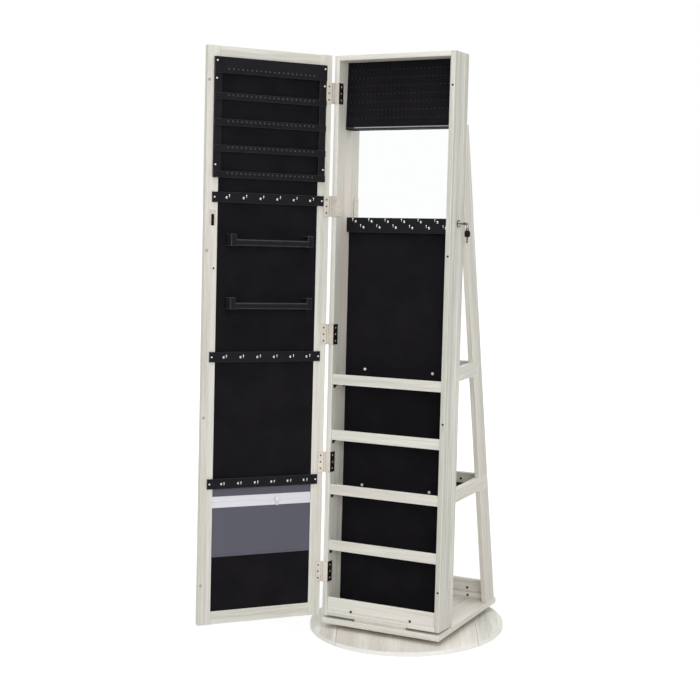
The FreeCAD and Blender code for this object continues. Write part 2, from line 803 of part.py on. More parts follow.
def catches(label, radius):
    return [door.rod(f"{label}_{n}", radius, S.catch_thickness, (magnet_x, door_face, height), AGAINST_Y)
            for n, height in enumerate(MAGNETS)]


free_stile = door.prism("free_stile_blank", "XY", grooved(half_width, opening_half, groove_half),
                        S.cabinet_height, (0, 0, 0))
free_cuts = [strike_seat("strike_recess"), strike_slot("strike_mortise", S.mortise_depth)]
free_cuts += catches("catch_hole", S.catch_radius + S.screw_fit)
keep("door_free_stile", cut("door_free_stile", free_stile,
                            free_cuts + screw_holes("free_stile_bar_hole", stile_screws(1))))
group("door_catch_plates", catches("catch", S.catch_radius))
keep("strike_plate", cut("strike_plate", strike_seat("strike_blank"),
                         [strike_slot("strike_slot", S.strike_thickness)]))


def door_rail(label, plain, inner, groove):
    outline = [(depth, height) for height, depth in grooved(plain, inner, groove)]
    return door.prism(label, "YZ", outline, 2 * opening_half, (-opening_half, 0, 0))


def from_top(distance):
    return S.cabinet_height - distance


groove_edge = S.frame_width - S.groove_depth
group("door_rails", [door_rail("door_rail_bottom", 0, S.frame_width, groove_edge),
                     door_rail("door_rail_top", from_top(0), from_top(S.frame_width), from_top(groove_edge))])


def door_sheet(label, face, thickness):
    return keep(label, door.block(label, (2 * panel_half, thickness, S.cabinet_height - 2 * panel_foot),
                                  (-panel_half, face - thickness, panel_foot)))


door_sheet("door_felt_panel", felt_front, S.door_felt_thickness)
door_sheet("door_mirror", felt_front - S.door_felt_thickness, S.door_mirror_thickness)


# Earring rack: two uprights on the stiles, four bars across them and a wide band at the top
def across_door(label, face, thickness, foot, height):
    return door.block(label, (2 * rack_half, thickness, height), (-rack_half, face, foot))


def rack_upright(label, side, start):
    blank = door.block(label + "_blank", (S.rack_upright_width, S.rack_upright_thickness, S.rack_height),
                       (start, door_face, rack_bottom))
    return cut(label, blank, screw_holes(label + "_hole", upright_screws(side) + [band_screw(side)]))


rack_pitch = (S.rack_height - S.rack_band_height) / 4
rack = [rack_upright("rack_upright_hinge", -1, -rack_half),
        rack_upright("rack_upright_free", 1, rack_half - S.rack_upright_width)]
rack += [across_door(f"rack_bar_{n}", rack_face, S.rack_bar_thickness, rack_bottom + n * rack_pitch,
                     S.rack_bar_height) for n in range(4)]
band = across_door("rack_band_blank", rack_face, S.rack_bar_thickness, rack_band_bottom, S.rack_band_height)
rack.append(cut("rack_band", band, screw_holes("rack_band_hole", [band_screw(side) for side in (-1, 1)])))
group("earring_rack", rack)


# Hook bars with their hooks, and the screws that hold them and the rack
def hook_bar(label, height):
    blank = across_door(label + "_blank", door_face, S.hook_bar_thickness, height - S.hook_bar_height / 2,
                        S.hook_bar_height)
    return cut(label, blank, screw_holes(label + "_hole", [hook_bar_screw(side, height) for side in (-1, 1)]))


door_hook_step = 2 * (rack_half - S.door_hook_margin) / 5
group("hook_bars", [hook_bar(f"hook_bar_{n}", height) for n, height in enumerate(HOOK_BARS)])
group("door_hooks", [hook(door, f"door_hook_{n}_{m}", across, hook_bar_face, height, S.door_hook_reach, 1)
                     for n, height in enumerate(HOOK_BARS)
                     for m, across in enumerate(spread(6, door_hook_step))])
group("bar_screws", [bar_screw(f"bar_screw_{side}_{n}", at, held)
                     for side in (-1, 1) for n, (at, held) in enumerate(stile_screws(side))])


# Bracelet bars: a round bar between two brackets on the felt panel
def bracelet_bar(label, height):
    outside = opening_half - S.bracelet_margin
    inside = outside - S.bracelet_bracket_width
    bracket = (S.bracelet_bracket_width, S.bracelet_reach + S.bracelet_rod_radius, S.bracelet_bracket_height)
    foot = height - S.bracelet_rod_radius
    return [door.rod(label + "_rod", S.bracelet_rod_radius, 2 * inside,
                     (-inside, felt_front + S.bracelet_reach, height), ALONG_X),
            door.block(label + "_hinge_bracket", bracket, (-outside, felt_front, foot)),
            door.block(label + "_free_bracket", bracket, (inside, felt_front, foot))]


group("bracelet_bars", bracelet_bar("first_bracelet_bar", first_bracelet)
      + bracelet_bar("second_bracelet_bar", second_bracelet))


# Flat zip pocket with its tape, slider and hanging pull
pocket_half = opening_half - S.groove_play
pocket_top = HOOK_BARS[2] - S.hook_bar_height / 2
pocket_face = felt_front + S.pocket_thickness
tape_face = pocket_face + S.tape_thickness
tape_bottom = pocket_top - S.tape_drop - S.tape_height
keep("zip_pocket", door.block("zip_pocket", (2 * pocket_half, S.pocket_thickness, S.pocket_height),
                              (-pocket_half, felt_front, pocket_top - S.pocket_height)))
keep("zip_tape", door.block("zip_tape", (2 * pocket_half, S.tape_thickness, S.tape_height),
                            (-pocket_half, pocket_face, tape_bottom)))
slider_x = S.slider_place - half_width
slider_z = tape_bottom + S.tape_height / 2
slider_face = tape_face + S.slider_thickness
slider_block = door.block("slider_block", (S.slider_width, S.slider_thickness, S.slider_height),
                          (slider_x - S.slider_width / 2, tape_face, slider_z - S.slider_height / 2))
pull_z = slider_z - S.slider_height / 4
pull_at = vector(slider_x, slider_face, pull_z)
slider_pin = door.rod("slider_pin", S.pull_pin_radius, S.running_gap + S.pull_thickness, pull_at, ALONG_Y)
keep("zip_slider", fuse("zip_slider", [slider_block, slider_pin]))

# The pull hangs plumb, a little turned against the leaning door
open_sine = turned(S.door_open, "sin")
plumb_turn = math.degrees(math.atan2(lean_sine.value * open_sine.value, lean_cosine.value))
pull_frame = Frame(door.placement.multiply(
    FreeCAD.Placement(pull_at, FreeCAD.Rotation(Y_AXIS, plumb_turn))))
pull_blank = pull_frame.block("pull_blank", (S.pull_width, S.pull_thickness, S.pull_length),
                              (-S.pull_width / 2, S.running_gap, S.pull_width / 2 - S.pull_length))
pull_eye = pull_frame.rod("pull_eye", S.pull_pin_radius + S.pin_fit, S.pull_thickness,
                          (0, S.running_gap, 0), ALONG_Y)
keep("zip_pull", cut("zip_pull", pull_blank, [pull_eye]))


# Cam lock: housing in the right panel, plug with its cam and key
housing = cabinet.rod("lock_shell", S.lock_radius, lock_length, lock_at, ALONG_X)
flange_at = (half_width, lock_y, lock_z)
flange = cabinet.rod("lock_collar", S.lock_flange_radius, S.lock_flange, flange_at, ALONG_X)
plug_length = lock_length + S.lock_flange
plug_bore = cabinet.rod("plug_bore", S.plug_radius + S.plug_fit, plug_length, lock_at, ALONG_X)
keep("lock_housing", cut("lock_housing", fuse("lock_whole", [housing, flange]), [plug_bore]))
keep("lock_plug", cabinet.rod("lock_plug", S.plug_radius, plug_length, lock_at, ALONG_X))
cam_reach = lock_y + door_gap + S.cam_bite
keep("lock_cam", cabinet.block("lock_cam", (S.cam_thickness, S.cam_width, cam_reach + S.cam_width / 2),
                               (lock_at[0] - S.cam_thickness, lock_y - S.cam_width / 2, lock_z - cam_reach)))

key_start = half_width + S.lock_flange
key_y = lock_y - S.key_thickness / 2
bow_x = key_start + S.key_blade_length + S.bow_radius
blade = cabinet.block("key_blade", (bow_x - key_start, S.key_thickness, S.key_blade_width),
                      (key_start, key_y, lock_z - S.key_blade_width / 2))
bow = cabinet.rod("key_bow", S.bow_radius, S.key_thickness, (bow_x, key_y, lock_z), ALONG_Y)
hole_x = bow_x + S.bow_hole_offset
bow_hole = cabinet.rod("key_bow_hole", S.bow_hole_radius, S.key_thickness, (hole_x, key_y, lock_z), ALONG_Y)
keep("key", cut("key", fuse("key_whole", [blade, bow]), [bow_hole]))


# Key ring and spare key hang plumb from the key's bow
hanging = Frame(FreeCAD.Placement(cabinet.placement.multVec(vector(hole_x, lock_y, lock_z)), UPRIGHT))
wire_drop = S.bow_hole_radius - S.ring_wire - S.running_gap
ring_z = -wire_drop - S.ring_radius
keep("key_ring", hanging.ring("key_ring", S.ring_radius, S.ring_wire, (0, 0, ring_z), ALONG_X))
spare_hole_z = ring_z - S.ring_radius - wire_drop
spare_z = spare_hole_z - S.spare_hole_offset
spare_y = -S.spare_thickness / 2
spare_bow = hanging.rod("spare_bow", S.spare_bow_radius, S.spare_thickness, (0, spare_y, spare_z), ALONG_Y)
spare_reach = S.spare_blade_length + S.spare_bow_radius
spare_blade = hanging.block("spare_blade", (S.spare_blade_width, S.key_thickness, spare_reach),
                            (-S.spare_blade_width / 2, -S.key_thickness / 2, spare_z - spare_reach))
spare_hole = hanging.rod("spare_hole", S.bow_hole_radius, S.spare_thickness,
                         (0, spare_y, spare_hole_z), ALONG_Y)
keep("spare_key", cut("spare_key", fuse("spare_whole", [spare_bow, spare_blade]), [spare_hole]))


# Rear legs: from a foot on the plate up to a slim tip against the cabinet's leaning back
foot_rear = S.plate_depth - S.axis_setback - S.foot_setback
leg_top = cabinet_foot + (S.cabinet_height - S.leg_drop) * lean_cosine
foot_gap = foot_rear + S.axis_setback - S.cabinet_depth * lean_cosine + S.wedge_rear * lean_tangent
leg_slope = (foot_gap - S.leg_tip) / (leg_top - plate_top) - lean_tangent
leg_meet = plate_top + (foot_gap - S.leg_depth) / (leg_slope + lean_tangent)


def leg_rear(height):
    return foot_rear - (height - plate_top) * leg_slope


def cabinet_back(height):
    """World Y of the cabinet's leaning back at a height."""
    return S.cabinet_depth * lean_cosine - S.axis_setback + (height - cabinet_foot) * lean_tangent


leg_outline = [(foot_rear, plate_top), (leg_rear(leg_top), leg_top), (cabinet_back(leg_top), leg_top),
               (cabinet_back(leg_meet), leg_meet), (foot_rear - S.leg_depth, plate_top)]
leg_inner = half_width - S.leg_thickness


# Trays: side rails half-lapped into the legs, back rails between the legs and black floors
def tray(name, top, height, setback):
    foot = top - height
    end = leg_rear(foot + height / 2) - setback
    outline = [(cabinet_back(foot), foot), (end, foot), (end, top), (cabinet_back(top), top)]
    screws = [(across, end, foot + height / 2) for across in spread(2, S.tray_screw_spread)]
    return {"name": name, "foot": foot, "height": height, "end": end, "outline": outline, "screws": screws}


TRAYS = [tray("upper", S.upper_tray_top, S.upper_rail_height, S.upper_rail_setback),
         tray("lower", S.lower_tray_top, S.lower_rail_height, S.lower_rail_setback)]


def one_side(label, outline, side, inner, outer):
    """An outline run in X between two distances from the middle, on the left or the right."""
    start = inner if side > 0 else -outer
    return floor.prism(label, "YZ", outline, outer - inner, (start, 0, 0))


lap_inner = half_width - S.lap_thickness
tray_rails = []
for side, name in ((-1, "left"), (1, "right")):
    laps = []
    for shelf in TRAYS:
        label = f"{name}_{shelf['name']}_rail"
        laps.append(one_side(label + "_lap", shelf["outline"], side, lap_inner, half_width))
        rail_blank = one_side(label + "_blank", shelf["outline"], side, leg_inner, half_width)
        leg_half = one_side(label + "_leg_half", leg_outline, side, leg_inner, lap_inner)
        tray_rails.append(cut(label, rail_blank, [leg_half]))
    leg_blank = one_side(f"{name}_leg_blank", leg_outline, side, leg_inner, half_width)
    keep(f"rear_leg_{name}", cut(f"rear_leg_{name}", leg_blank, laps))
group("tray_side_rails", tray_rails)


def between_legs(label, front, foot, height, points):
    blank = floor.block(label + "_blank", (2 * leg_inner, S.cross_rail_thickness, height),
                        (-leg_inner, front, foot))
    return cut(label, blank, frame_screw_holes(floor, label + "_hole", points))


def tray_board(label, rail_foot, end):
    foot = rail_foot + S.tray_floor_lift
    top = foot + S.tray_floor
    outline = [(cabinet_back(foot), foot), (end, foot), (end, top), (cabinet_back(top), top)]
    return floor.prism(label, "YZ", outline, 2 * leg_inner, (-leg_inner, 0, 0))


group("tray_back_rails", [between_legs(f"{shelf['name']}_back_rail", shelf["end"], shelf["foot"],
                                       shelf["height"], shelf["screws"]) for shelf in TRAYS])
group("tray_floors", [tray_board(f"{shelf['name']}_tray_floor", shelf["foot"], shelf["end"])
                      for shelf in TRAYS])


# Bottom cross rail on a cleat between the feet, and the black screws of the frame
foot_line = foot_rear - S.foot_inset
cross_front = foot_line - S.cross_rail_thickness
cross_foot = plate_top + S.cleat_height
cross_screws = [(across, cross_front, cross_foot + S.bottom_cross_height / 4)
                for across in spread(2, S.tray_screw_spread)]
keep("bottom_rear_rail", between_legs("bottom_rear_rail", cross_front, cross_foot, S.bottom_cross_height,
                                      cross_screws))
cleat_half = leg_inner - S.cleat_gap
cleat_front = foot_line - S.cleat_depth
cleat_screws = [(across, cleat_front, plate_top + S.cleat_height / 2)
                for across in spread(2, S.cleat_screw_spread)]
cleat_blank = floor.block("cleat_blank", (2 * cleat_half, S.cleat_depth, S.cleat_height),
                          (-cleat_half, cleat_front, plate_top))
keep("rear_cleat", cut("rear_cleat", cleat_blank, frame_screw_holes(floor, "cleat_hole", cleat_screws)))

floor_screws = [at for shelf in TRAYS for at in shelf["screws"]] + cross_screws + cleat_screws
group("frame_screws", [frame_screw(floor, f"frame_screw_{n}", at) for n, at in enumerate(floor_screws)]
      + [frame_screw(cabinet, f"front_rail_screw_{n}", at) for n, at in enumerate(rail_screw_at)])


# Rebuild, check and write every sub-part
doc.recompute()
for feature in doc.Objects:
    if "Invalid" in feature.State or "Error" in feature.State:
        raise RuntimeError(f"{feature.Label} failed: {feature.State}")
for label, feature in NODES.items():
    if feature.Shape.isNull() or not feature.Shape.isValid() or not feature.Shape.Solids:
        raise RuntimeError(f"{label} has no valid shape")
os.makedirs("parts", exist_ok=True)
for label, feature in NODES.items():
    feature.Shape.exportStep(f"parts/{label}.step")
print(len(NODES), "nodes,", sum(len(feature.Shape.Solids) for feature in NODES.values()), "solids")
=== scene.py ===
import json
import math

import bmesh
import bpy
from bpy.props import FloatProperty, FloatVectorProperty, IntProperty, PointerProperty
from bpy.types import NodeSocket, Operator, Panel, PropertyGroup
from mathutils import Matrix, Vector


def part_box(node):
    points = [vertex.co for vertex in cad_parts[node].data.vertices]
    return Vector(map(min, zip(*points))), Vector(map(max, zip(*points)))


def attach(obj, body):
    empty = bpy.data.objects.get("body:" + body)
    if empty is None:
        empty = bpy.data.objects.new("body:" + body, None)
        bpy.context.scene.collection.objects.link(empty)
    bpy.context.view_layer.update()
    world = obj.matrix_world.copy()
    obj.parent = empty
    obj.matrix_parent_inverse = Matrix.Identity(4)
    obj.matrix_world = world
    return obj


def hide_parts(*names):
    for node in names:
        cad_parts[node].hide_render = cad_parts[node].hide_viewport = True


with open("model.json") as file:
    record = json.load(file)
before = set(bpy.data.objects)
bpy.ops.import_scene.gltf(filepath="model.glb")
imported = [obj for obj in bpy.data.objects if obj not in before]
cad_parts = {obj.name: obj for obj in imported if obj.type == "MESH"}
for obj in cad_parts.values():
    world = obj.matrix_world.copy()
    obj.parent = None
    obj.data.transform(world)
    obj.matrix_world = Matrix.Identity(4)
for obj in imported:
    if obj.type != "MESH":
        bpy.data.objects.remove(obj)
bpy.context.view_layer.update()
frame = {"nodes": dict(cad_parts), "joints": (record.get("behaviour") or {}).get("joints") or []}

bl_info = {
    "name": "Jewelry cabinet",
    "version": (1, 0, 0),
    "blender": (4, 5, 0),
    "location": "3D View > Sidebar > Cabinet",
    "description": "Dresses a swivel jewelry cabinet with an open mirror door, and sets a plain stage",
    "category": "Object",
}

MM = 0.001
NEAR = 1e-6
WELD, FACE_WELD = 0.002 * MM, 0.001 * MM
FLAT, HARD, CREASE = math.radians(0.3), math.radians(30), math.radians(50)
SHORT_EDGE = 4 * MM
OTHER_WOOD = Vector((0.71, 0.33, 0.19))
CABINET_DEPTH = 86 * MM
DISC_TURN = math.radians(27)
LEG_SLOPE = math.radians(7.87)
NODES = frame["nodes"]
JOINTS = {joint["name"]: joint for joint in frame["joints"]}
SWING = JOINTS["door_swing"]
LEAN = math.atan2(-SWING["axis"][1], -SWING["axis"][2])
OPEN = math.radians(SWING["range_deg"][0])


# Places that pieces are made in, each with the piece's own up, across and depth
def cabinet_place():
    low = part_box("left_side_panel")[0]
    foot = low.z + CABINET_DEPTH * math.sin(LEAN)
    return Matrix.Translation((0, low.y, foot)) @ Matrix.Rotation(-LEAN, 4, "X")


def door_place():
    pin = CABINET.inverted() @ Vector(SWING["pos_m"])
    pin.z = 0
    return CABINET @ Matrix.Translation(pin) @ Matrix.Rotation(OPEN, 4, "Z") @ Matrix.Translation(-pin)


def pull_place():
    """The zip pull hangs plumb from its pin, flat to the door."""
    joint = JOINTS["zip_pull_swing"]
    out = Vector(joint["axis"]).normalized()
    across = out.cross(Vector((0, 0, 1))).normalized()
    turned = Matrix((across, out, across.cross(out))).transposed()
    return Matrix.Translation(joint["pos_m"]) @ turned.to_4x4()


FLOOR = Matrix()
CABINET = cabinet_place()
DOOR = door_place()
PULL = pull_place()
DISC = Matrix.Rotation(DISC_TURN, 4, "Z")
LEGS = Matrix.Rotation(LEG_SLOPE, 4, "X")
TOWARD_FRONT = Matrix.Rotation(math.pi / 2, 4, "X")
TOWARD_BACK = Matrix.Rotation(-math.pi / 2, 4, "X")
TOWARD_RIGHT = Matrix.Rotation(math.pi / 2, 4, "Y")
QUARTER_TURN = Matrix.Rotation(math.pi / 2, 4, "Z")
ABOUT_FACE = Matrix.Rotation(math.pi, 4, "Z")


def at(*millimetres):
    return Matrix.Translation([part * MM for part in millimetres])


def steps(low, high, count):
    return [low + (high - low) * index / (count - 1) for index in range(count)]


def angles(count):
    return [2 * math.pi * step / count for step in range(count)]


# Settings
def srgb(*levels):
    """Linear colour of levels from 0 to 255 as a screen shows them."""
    return tuple(((level / 255 + 0.055) / 1.055) ** 2.4 for level in levels)


def colour(name, description, *levels):
    return FloatVectorProperty(name=name, description=description, subtype="COLOR", size=3,
                               default=srgb(*levels), min=0, max=1)


def length(name, description, millimetres):
    return FloatProperty(name=name, description=description, unit="LENGTH", default=millimetres * MM,
                         min=0, precision=5)


def number(name, description, default):
    return IntProperty(name=name, description=description, default=default, min=1)


def power(name, description, watts):
    return FloatProperty(name=name, description=description, unit="POWER", default=watts, min=0)


class CabinetFinishes(PropertyGroup):
    """Colours of the cabinet's materials."""

    wood_pale: colour("Wood, pale", "Pale ground of the whitewashed boards", 236, 234, 226)
    wood_shade: colour("Wood, shade", "Grey of the grain in the whitewashed boards", 198, 197, 186)
    wood_blush: colour("Wood, blush", "Warm streaks in the whitewashed boards", 226, 214, 205)
    # Painted highlight: near white laid along the boards' rounded edges and the base's rim
    wood_edge_highlight: colour("Wood, edge", "Edge of the boards where the white has stayed bright", 250, 250, 246)
    base_pale: colour("Base, pale", "Pale ground of the base's middle board", 239, 236, 229)
    base_shade: colour("Base, shade", "Grain of the base's middle board", 214, 208, 197)
    felt_deep: colour("Felt, deep", "Dark of the felt between its fibres", 18, 17, 19)
    felt_fibre: colour("Felt, fibre", "Fibres that catch the light on the felt", 33, 31, 35)
    plastic_black: colour("Black plastic", "Rack, hook bars and bracelet bars", 21, 21, 25)
    # Painted highlight: light grey on the rounded edges of the black plastic, the gloss ledge and blackened steel;
    # it is also the grey of the rack's hole rims
    plastic_worn: colour("Plastic edge light", "Rubbed edges of the bars and rims of their holes", 96, 98, 102)
    rim_bright: colour("Hole rims, rubbed", "Spots of the hole rims that are rubbed most", 122, 124, 128)
    slot_rim: colour("Slot rims", "Rims of the slots in the earring board", 58, 56, 60)
    slot_rim_bright: colour("Slot rims, rubbed", "Spots of the slot rims that are rubbed most", 86, 84, 88)
    gloss_black: colour("Gloss black", "Leaning front of the ledge under the earring board", 16, 15, 18)
    board_black: colour("Black board", "Floors of the rear trays", 24, 23, 24)
    cloth_grey: colour("Pocket cloth", "Woven cloth of the zip pocket", 106, 106, 119)
    cloth_shade: colour("Pocket cloth, shade", "Gaps of the pocket's weave", 88, 88, 99)
    tape_white: colour("Zip tape", "Tape, teeth and stitches of the zip", 245, 245, 250)
    tape_shade: colour("Zip tape, shade", "Gaps of the tape's weave", 216, 216, 224)
    cap_white: colour("White caps", "Buttons on the felt and heads of the bar screws", 238, 236, 231)
    cap_edge: colour("White caps, edge", "Rubbed spots of the white caps", 222, 219, 211)
    nickel: colour("Nickel", "Hinges, strike, plug and cam of the lock", 208, 200, 189)
    nickel_edge: colour("Nickel, edge", "Dull edges of the nickel", 128, 116, 101)
    aged: colour("Aged nickel", "Lock housing, keys and hinge screws on the door", 112, 106, 93)
    aged_edge: colour("Aged nickel, edge", "Dark edges of the aged nickel", 62, 57, 47)
    zinc: colour("Zinc", "Hinge screws on the cabinet", 190, 192, 186)
    chrome: colour("Chrome", "Hooks, zip slider and zip pull", 212, 212, 209)
    chrome_edge: colour("Chrome, edge", "Dull spots of the chrome", 150, 149, 146)
    steel: colour("Steel", "Bearing and catch plates", 168, 166, 163)
    black_steel: colour("Black steel", "Screws of the wooden frame, stud and magnets", 30, 28, 27)
    silver: colour("Mirror", "Silvered glass", 253, 254, 254)
    glass_green: colour("Glass edge", "Green of the glass at its polished edge", 214, 227, 221)


class CabinetSizes(PropertyGroup):
    """Sizes of the finished detail."""

    board_edge: length("Board edge", "Rounding of the boards' edges", 1.2)
    frame_edge: length("Frame edge", "Rounding of the door frame's long edges", 1.4)
    trim_edge: length("Trim edge", "Rounding of the bars and the rack", 0.5)
    glass_edge: length("Glass edge", "Polished edge of the mirrors", 1.4)
    leaf_edge: length("Leaf edge", "Rounding of hinges, lock and strike", 0.25)
    hole_radius: length("Earring hole", "Radius of a hole in the earring rack", 1.1)
    hole_sink: length("Hole rim", "Width of the sunk rim round a hole", 0.9)
    hole_pitch: length("Hole pitch", "Distance between holes of the earring rack", 12.8)
    hole_count: number("Holes in a bar", "Earring holes in each bar of the rack", 20)
    slot_rows: number("Slot rows", "Rows of slots in the earring board", 7)
    slot_columns: number("Slots in a row", "Slots in each row of the earring board", 26)
    tooth_pitch: length("Tooth pitch", "Distance between the zip's teeth", 1.4)
    stitch_pitch: length("Stitch pitch", "Distance between stitches of the pocket", 3.2)


class CabinetStage(PropertyGroup):
    """Light and camera."""

    left_power: power("Left lamp", "Power of the soft lamp high at the front left", 38)
    right_power: power("Right lamp", "Power of the large soft lamp at the front right", 65)
    back_power: power("Back lamp", "Power of the large soft lamp behind", 60)
    top_power: power("Top lamp", "Power of the large soft lamp overhead", 78)
    ambient: FloatProperty(name="Ambient", description="Even light from all round", default=0.46, min=0)
    lens: FloatProperty(name="Lens", description="Focal length of the camera", unit="CAMERA",
                        default=73.63, min=1)


def sizes():
    return bpy.context.scene.cabinet_sizes


def paint(field):
    return (*getattr(bpy.context.scene.cabinet_finishes, field), 1)


# Node trees
class Tree:
    """Adds nodes to one tree and links them."""

    def __init__(self, tree):
        self.tree = tree

    def add(self, kind, inputs=None, **settings):
        node = self.tree.nodes.new(kind)
        for name, value in settings.items():
            setattr(node, name, value)
        for socket, value in (inputs or {}).items():
            if isinstance(value, NodeSocket):
                self.tree.links.new(value, node.inputs[socket])
            else:
                node.inputs[socket].default_value = value
        return node

    def calc(self, operation, *values, clamp=False):
        inputs = dict(enumerate(values))
        return self.add("ShaderNodeMath", inputs, operation=operation, use_clamp=clamp).outputs[0]

    def total(self, first, *others):
        """The sum of the values, kept between 0 and 1."""
        for other in others:
            first = self.calc("ADD", first, other, clamp=other is others[-1])
        return first

    def mix(self, factor, first, second):
        inputs = {0: factor, 6: first, 7: second}
        return self.add("ShaderNodeMix", inputs, data_type="RGBA").outputs[2]

    def between(self, value, low, high, to_low=0.0, to_high=1.0):
        inputs = {"Value": value, "From Min": low, "From Max": high, "To Min": to_low, "To Max": to_high}
        return self.add("ShaderNodeMapRange", inputs).outputs[0]

    def stretch(self, vector, *scale):
        inputs = {0: vector, 1: scale}
        return self.add("ShaderNodeVectorMath", inputs, operation="MULTIPLY").outputs[0]

    def parts(self, vector):
        return self.add("ShaderNodeSeparateXYZ", {0: vector}).outputs

    def noise(self, vector, scale=1.0, detail=3.0):
        inputs = {"Vector": vector, "Scale": scale, "Detail": detail, "Roughness": 0.55}
        return self.add("ShaderNodeTexNoise", inputs).outputs[0]

    def mark(self, name, output):
        return self.add("ShaderNodeAttribute", attribute_name=name).outputs[output]

    def place(self):
        return self.add("ShaderNodeTexCoord").outputs["Object"]

    def group(self, group, inputs):
        return self.add("ShaderNodeGroup", inputs, node_tree=group).outputs


SOCKETS = {"vector": "NodeSocketVector", "colour": "NodeSocketColor", "value": "NodeSocketFloat"}


def effect(name, **labels):
    """Makes a function that adds nodes into one that gives their shader node group, made once.

    The labels are the group's inputs by kind. The function takes them in that order, and gives the outputs.
    """
    kinds = {label: SOCKETS[kind] for kind, listed in labels.items() for label in listed.split()}

    def wrap(build):
        def group():
            made = bpy.data.node_groups.get(name)
            if made:
                return made
            made = bpy.data.node_groups.new(name, "ShaderNodeTree")
            for label, kind in kinds.items():
                made.interface.new_socket(label, in_out="INPUT", socket_type=kind)
            tree = Tree(made)
            start = tree.add("NodeGroupInput").outputs
            outputs = build(tree, *(start[label] for label in kinds))
            for label in outputs:
                kind = SOCKETS["colour" if label == "Color" else "value"]
                made.interface.new_socket(label, in_out="OUTPUT", socket_type=kind)
            tree.add("NodeGroupOutput", outputs)
            return made

        return group

    return wrap


@effect("Limed grain", vector="Grain", colour="Pale Shade Blush Rubbed", value="Depth Edge")
def limed_grain(tree, grain, pale, shaded, blush, rubbed, depth, edge):
    """Whitewashed wood: long streaks, flame-shaped grain, fine lines and pores, and a painted highlight along the
    rounded edges.
    """
    streaks = tree.noise(tree.stretch(grain, 1.3, 34, 34), detail=4)
    lines = tree.noise(tree.stretch(grain, 4, 150, 150))
    warm = tree.noise(tree.stretch(grain, 0.8, 17, 17), detail=2)
    pores = tree.noise(tree.stretch(grain, 14, 520, 520))
    wander = tree.noise(tree.stretch(grain, 2.2, 7, 7), detail=2)
    bands = tree.calc("MULTIPLY", tree.parts(grain)[1], 520)
    phase = tree.calc("ADD", bands, tree.calc("MULTIPLY", wander, 60))
    flame = tree.between(tree.calc("SINE", phase), -1, 1)
    flame = tree.calc("MULTIPLY", flame, tree.between(streaks, 0.42, 0.62))
    flame = tree.calc("MULTIPLY", flame, 0.3)
    tone = tree.total(tree.between(streaks, 0.36, 0.68, 0, 0.55), tree.between(lines, 0.44, 0.66, 0, 0.42),
                      tree.between(pores, 0.4, 0.7, 0, 0.3), flame)
    ground = tree.mix(tree.between(warm, 0.46, 0.66, 0, 0.8), pale, blush)
    grained = tree.mix(tree.calc("MULTIPLY", tone, depth), ground, shaded)
    # Painted highlight on the marked edges, broken by the pores
    edge_tinted = tree.calc("MULTIPLY", edge, tree.between(pores, 0.35, 0.6, 0.5, 0.95))
    return {"Color": tree.mix(edge_tinted, grained, rubbed), "Height": tree.calc("SUBTRACT", flame, pores),
            "Roughness": tree.between(pores, 0.35, 0.7, 0.42, 0.6)}


@effect("Felt nap", vector="Place", colour="Deep Fibre")
def nap(tree, place, deep, fibre):
    """Felt or flock: crossed fibres over slow patches where the pile lies another way."""
    fibres, patches = tree.noise(place, 1500, 2), tree.noise(place, 14)
    share = tree.total(tree.between(fibres, 0.3, 0.7, 0, 0.65), tree.between(patches, 0.35, 0.65, 0, 0.35))
    return {"Color": tree.mix(share, deep, fibre), "Height": fibres}


@effect("Handled surface", vector="Place", value="Bright Dull")
def handled(tree, place, bright, dull):
    """Smudges and fine scratches on metal, glass and smooth plastic."""
    smudge = tree.noise(place, 38, 4)
    scratch = tree.noise(tree.stretch(place, 60, 1400, 500), detail=2)
    mask = tree.total(tree.between(smudge, 0.4, 0.7, 0, 0.7), tree.between(scratch, 0.55, 0.75, 0, 0.3))
    span = tree.calc("SUBTRACT", dull, bright)
    return {"Roughness": tree.calc("MULTIPLY_ADD", mask, span, bright), "Mask": mask, "Height": scratch}


@effect("Rubbed edges", vector="Place", colour="Plain Rubbed", value="Edge Mask")
def edge_wear_and_highlight(tree, place, plain, rubbed, edge, mask):
    """Colour that changes along the marked edges, broken by noise: a painted highlight on black plastic and
    blackened steel, the edges' own wear and tint on metal, caps and glass.
    """
    broken = tree.between(tree.noise(place, 160), 0.3, 0.6, 0.45, 1)
    share = tree.total(tree.calc("MULTIPLY", edge, broken), tree.calc("MULTIPLY", mask, 0.04))
    return {"Color": tree.mix(share, plain, rubbed)}


@effect("Plain weave", vector="Grain", colour="Thread Gap", value="Pitch")
def weave(tree, grain, thread, gap, pitch):
    """Plain weave of warp and weft threads at a pitch in metres."""
    turns = tree.calc("DIVIDE", 2 * math.pi, pitch)
    warp, weft = (tree.calc("SINE", tree.calc("MULTIPLY", part, turns)) for part in tree.parts(grain)[:2])
    slub = tree.noise(tree.stretch(grain, 260, 1100, 90), detail=2)
    height = tree.between(tree.calc("MULTIPLY", warp, weft), -1, 1)
    share = tree.total(tree.calc("MULTIPLY", height, 0.6), tree.between(slub, 0.25, 0.75, 0.08, 0.32))
    return {"Color": tree.mix(share, gap, thread), "Height": height}


# Materials
def fresh_tree(owner):
    owner.use_nodes = True
    owner.node_tree.nodes.clear()
    return Tree(owner.node_tree)


def shaded_by(tree, colour_from, height, strength, distance, **inputs):
    """Ends a material's tree with its shader; the bump's distance is in millimetres."""
    bump = tree.add("ShaderNodeBump", {"Height": height, "Strength": strength, "Distance": distance * MM})
    named = {label.replace("_", " "): value for label, value in inputs.items()}
    named.update({"Base Color": colour_from, "Normal": bump.outputs[0]})
    shader = tree.add("ShaderNodeBsdfPrincipled", named)
    tree.add("ShaderNodeOutputMaterial", {"Surface": shader.outputs[0]})


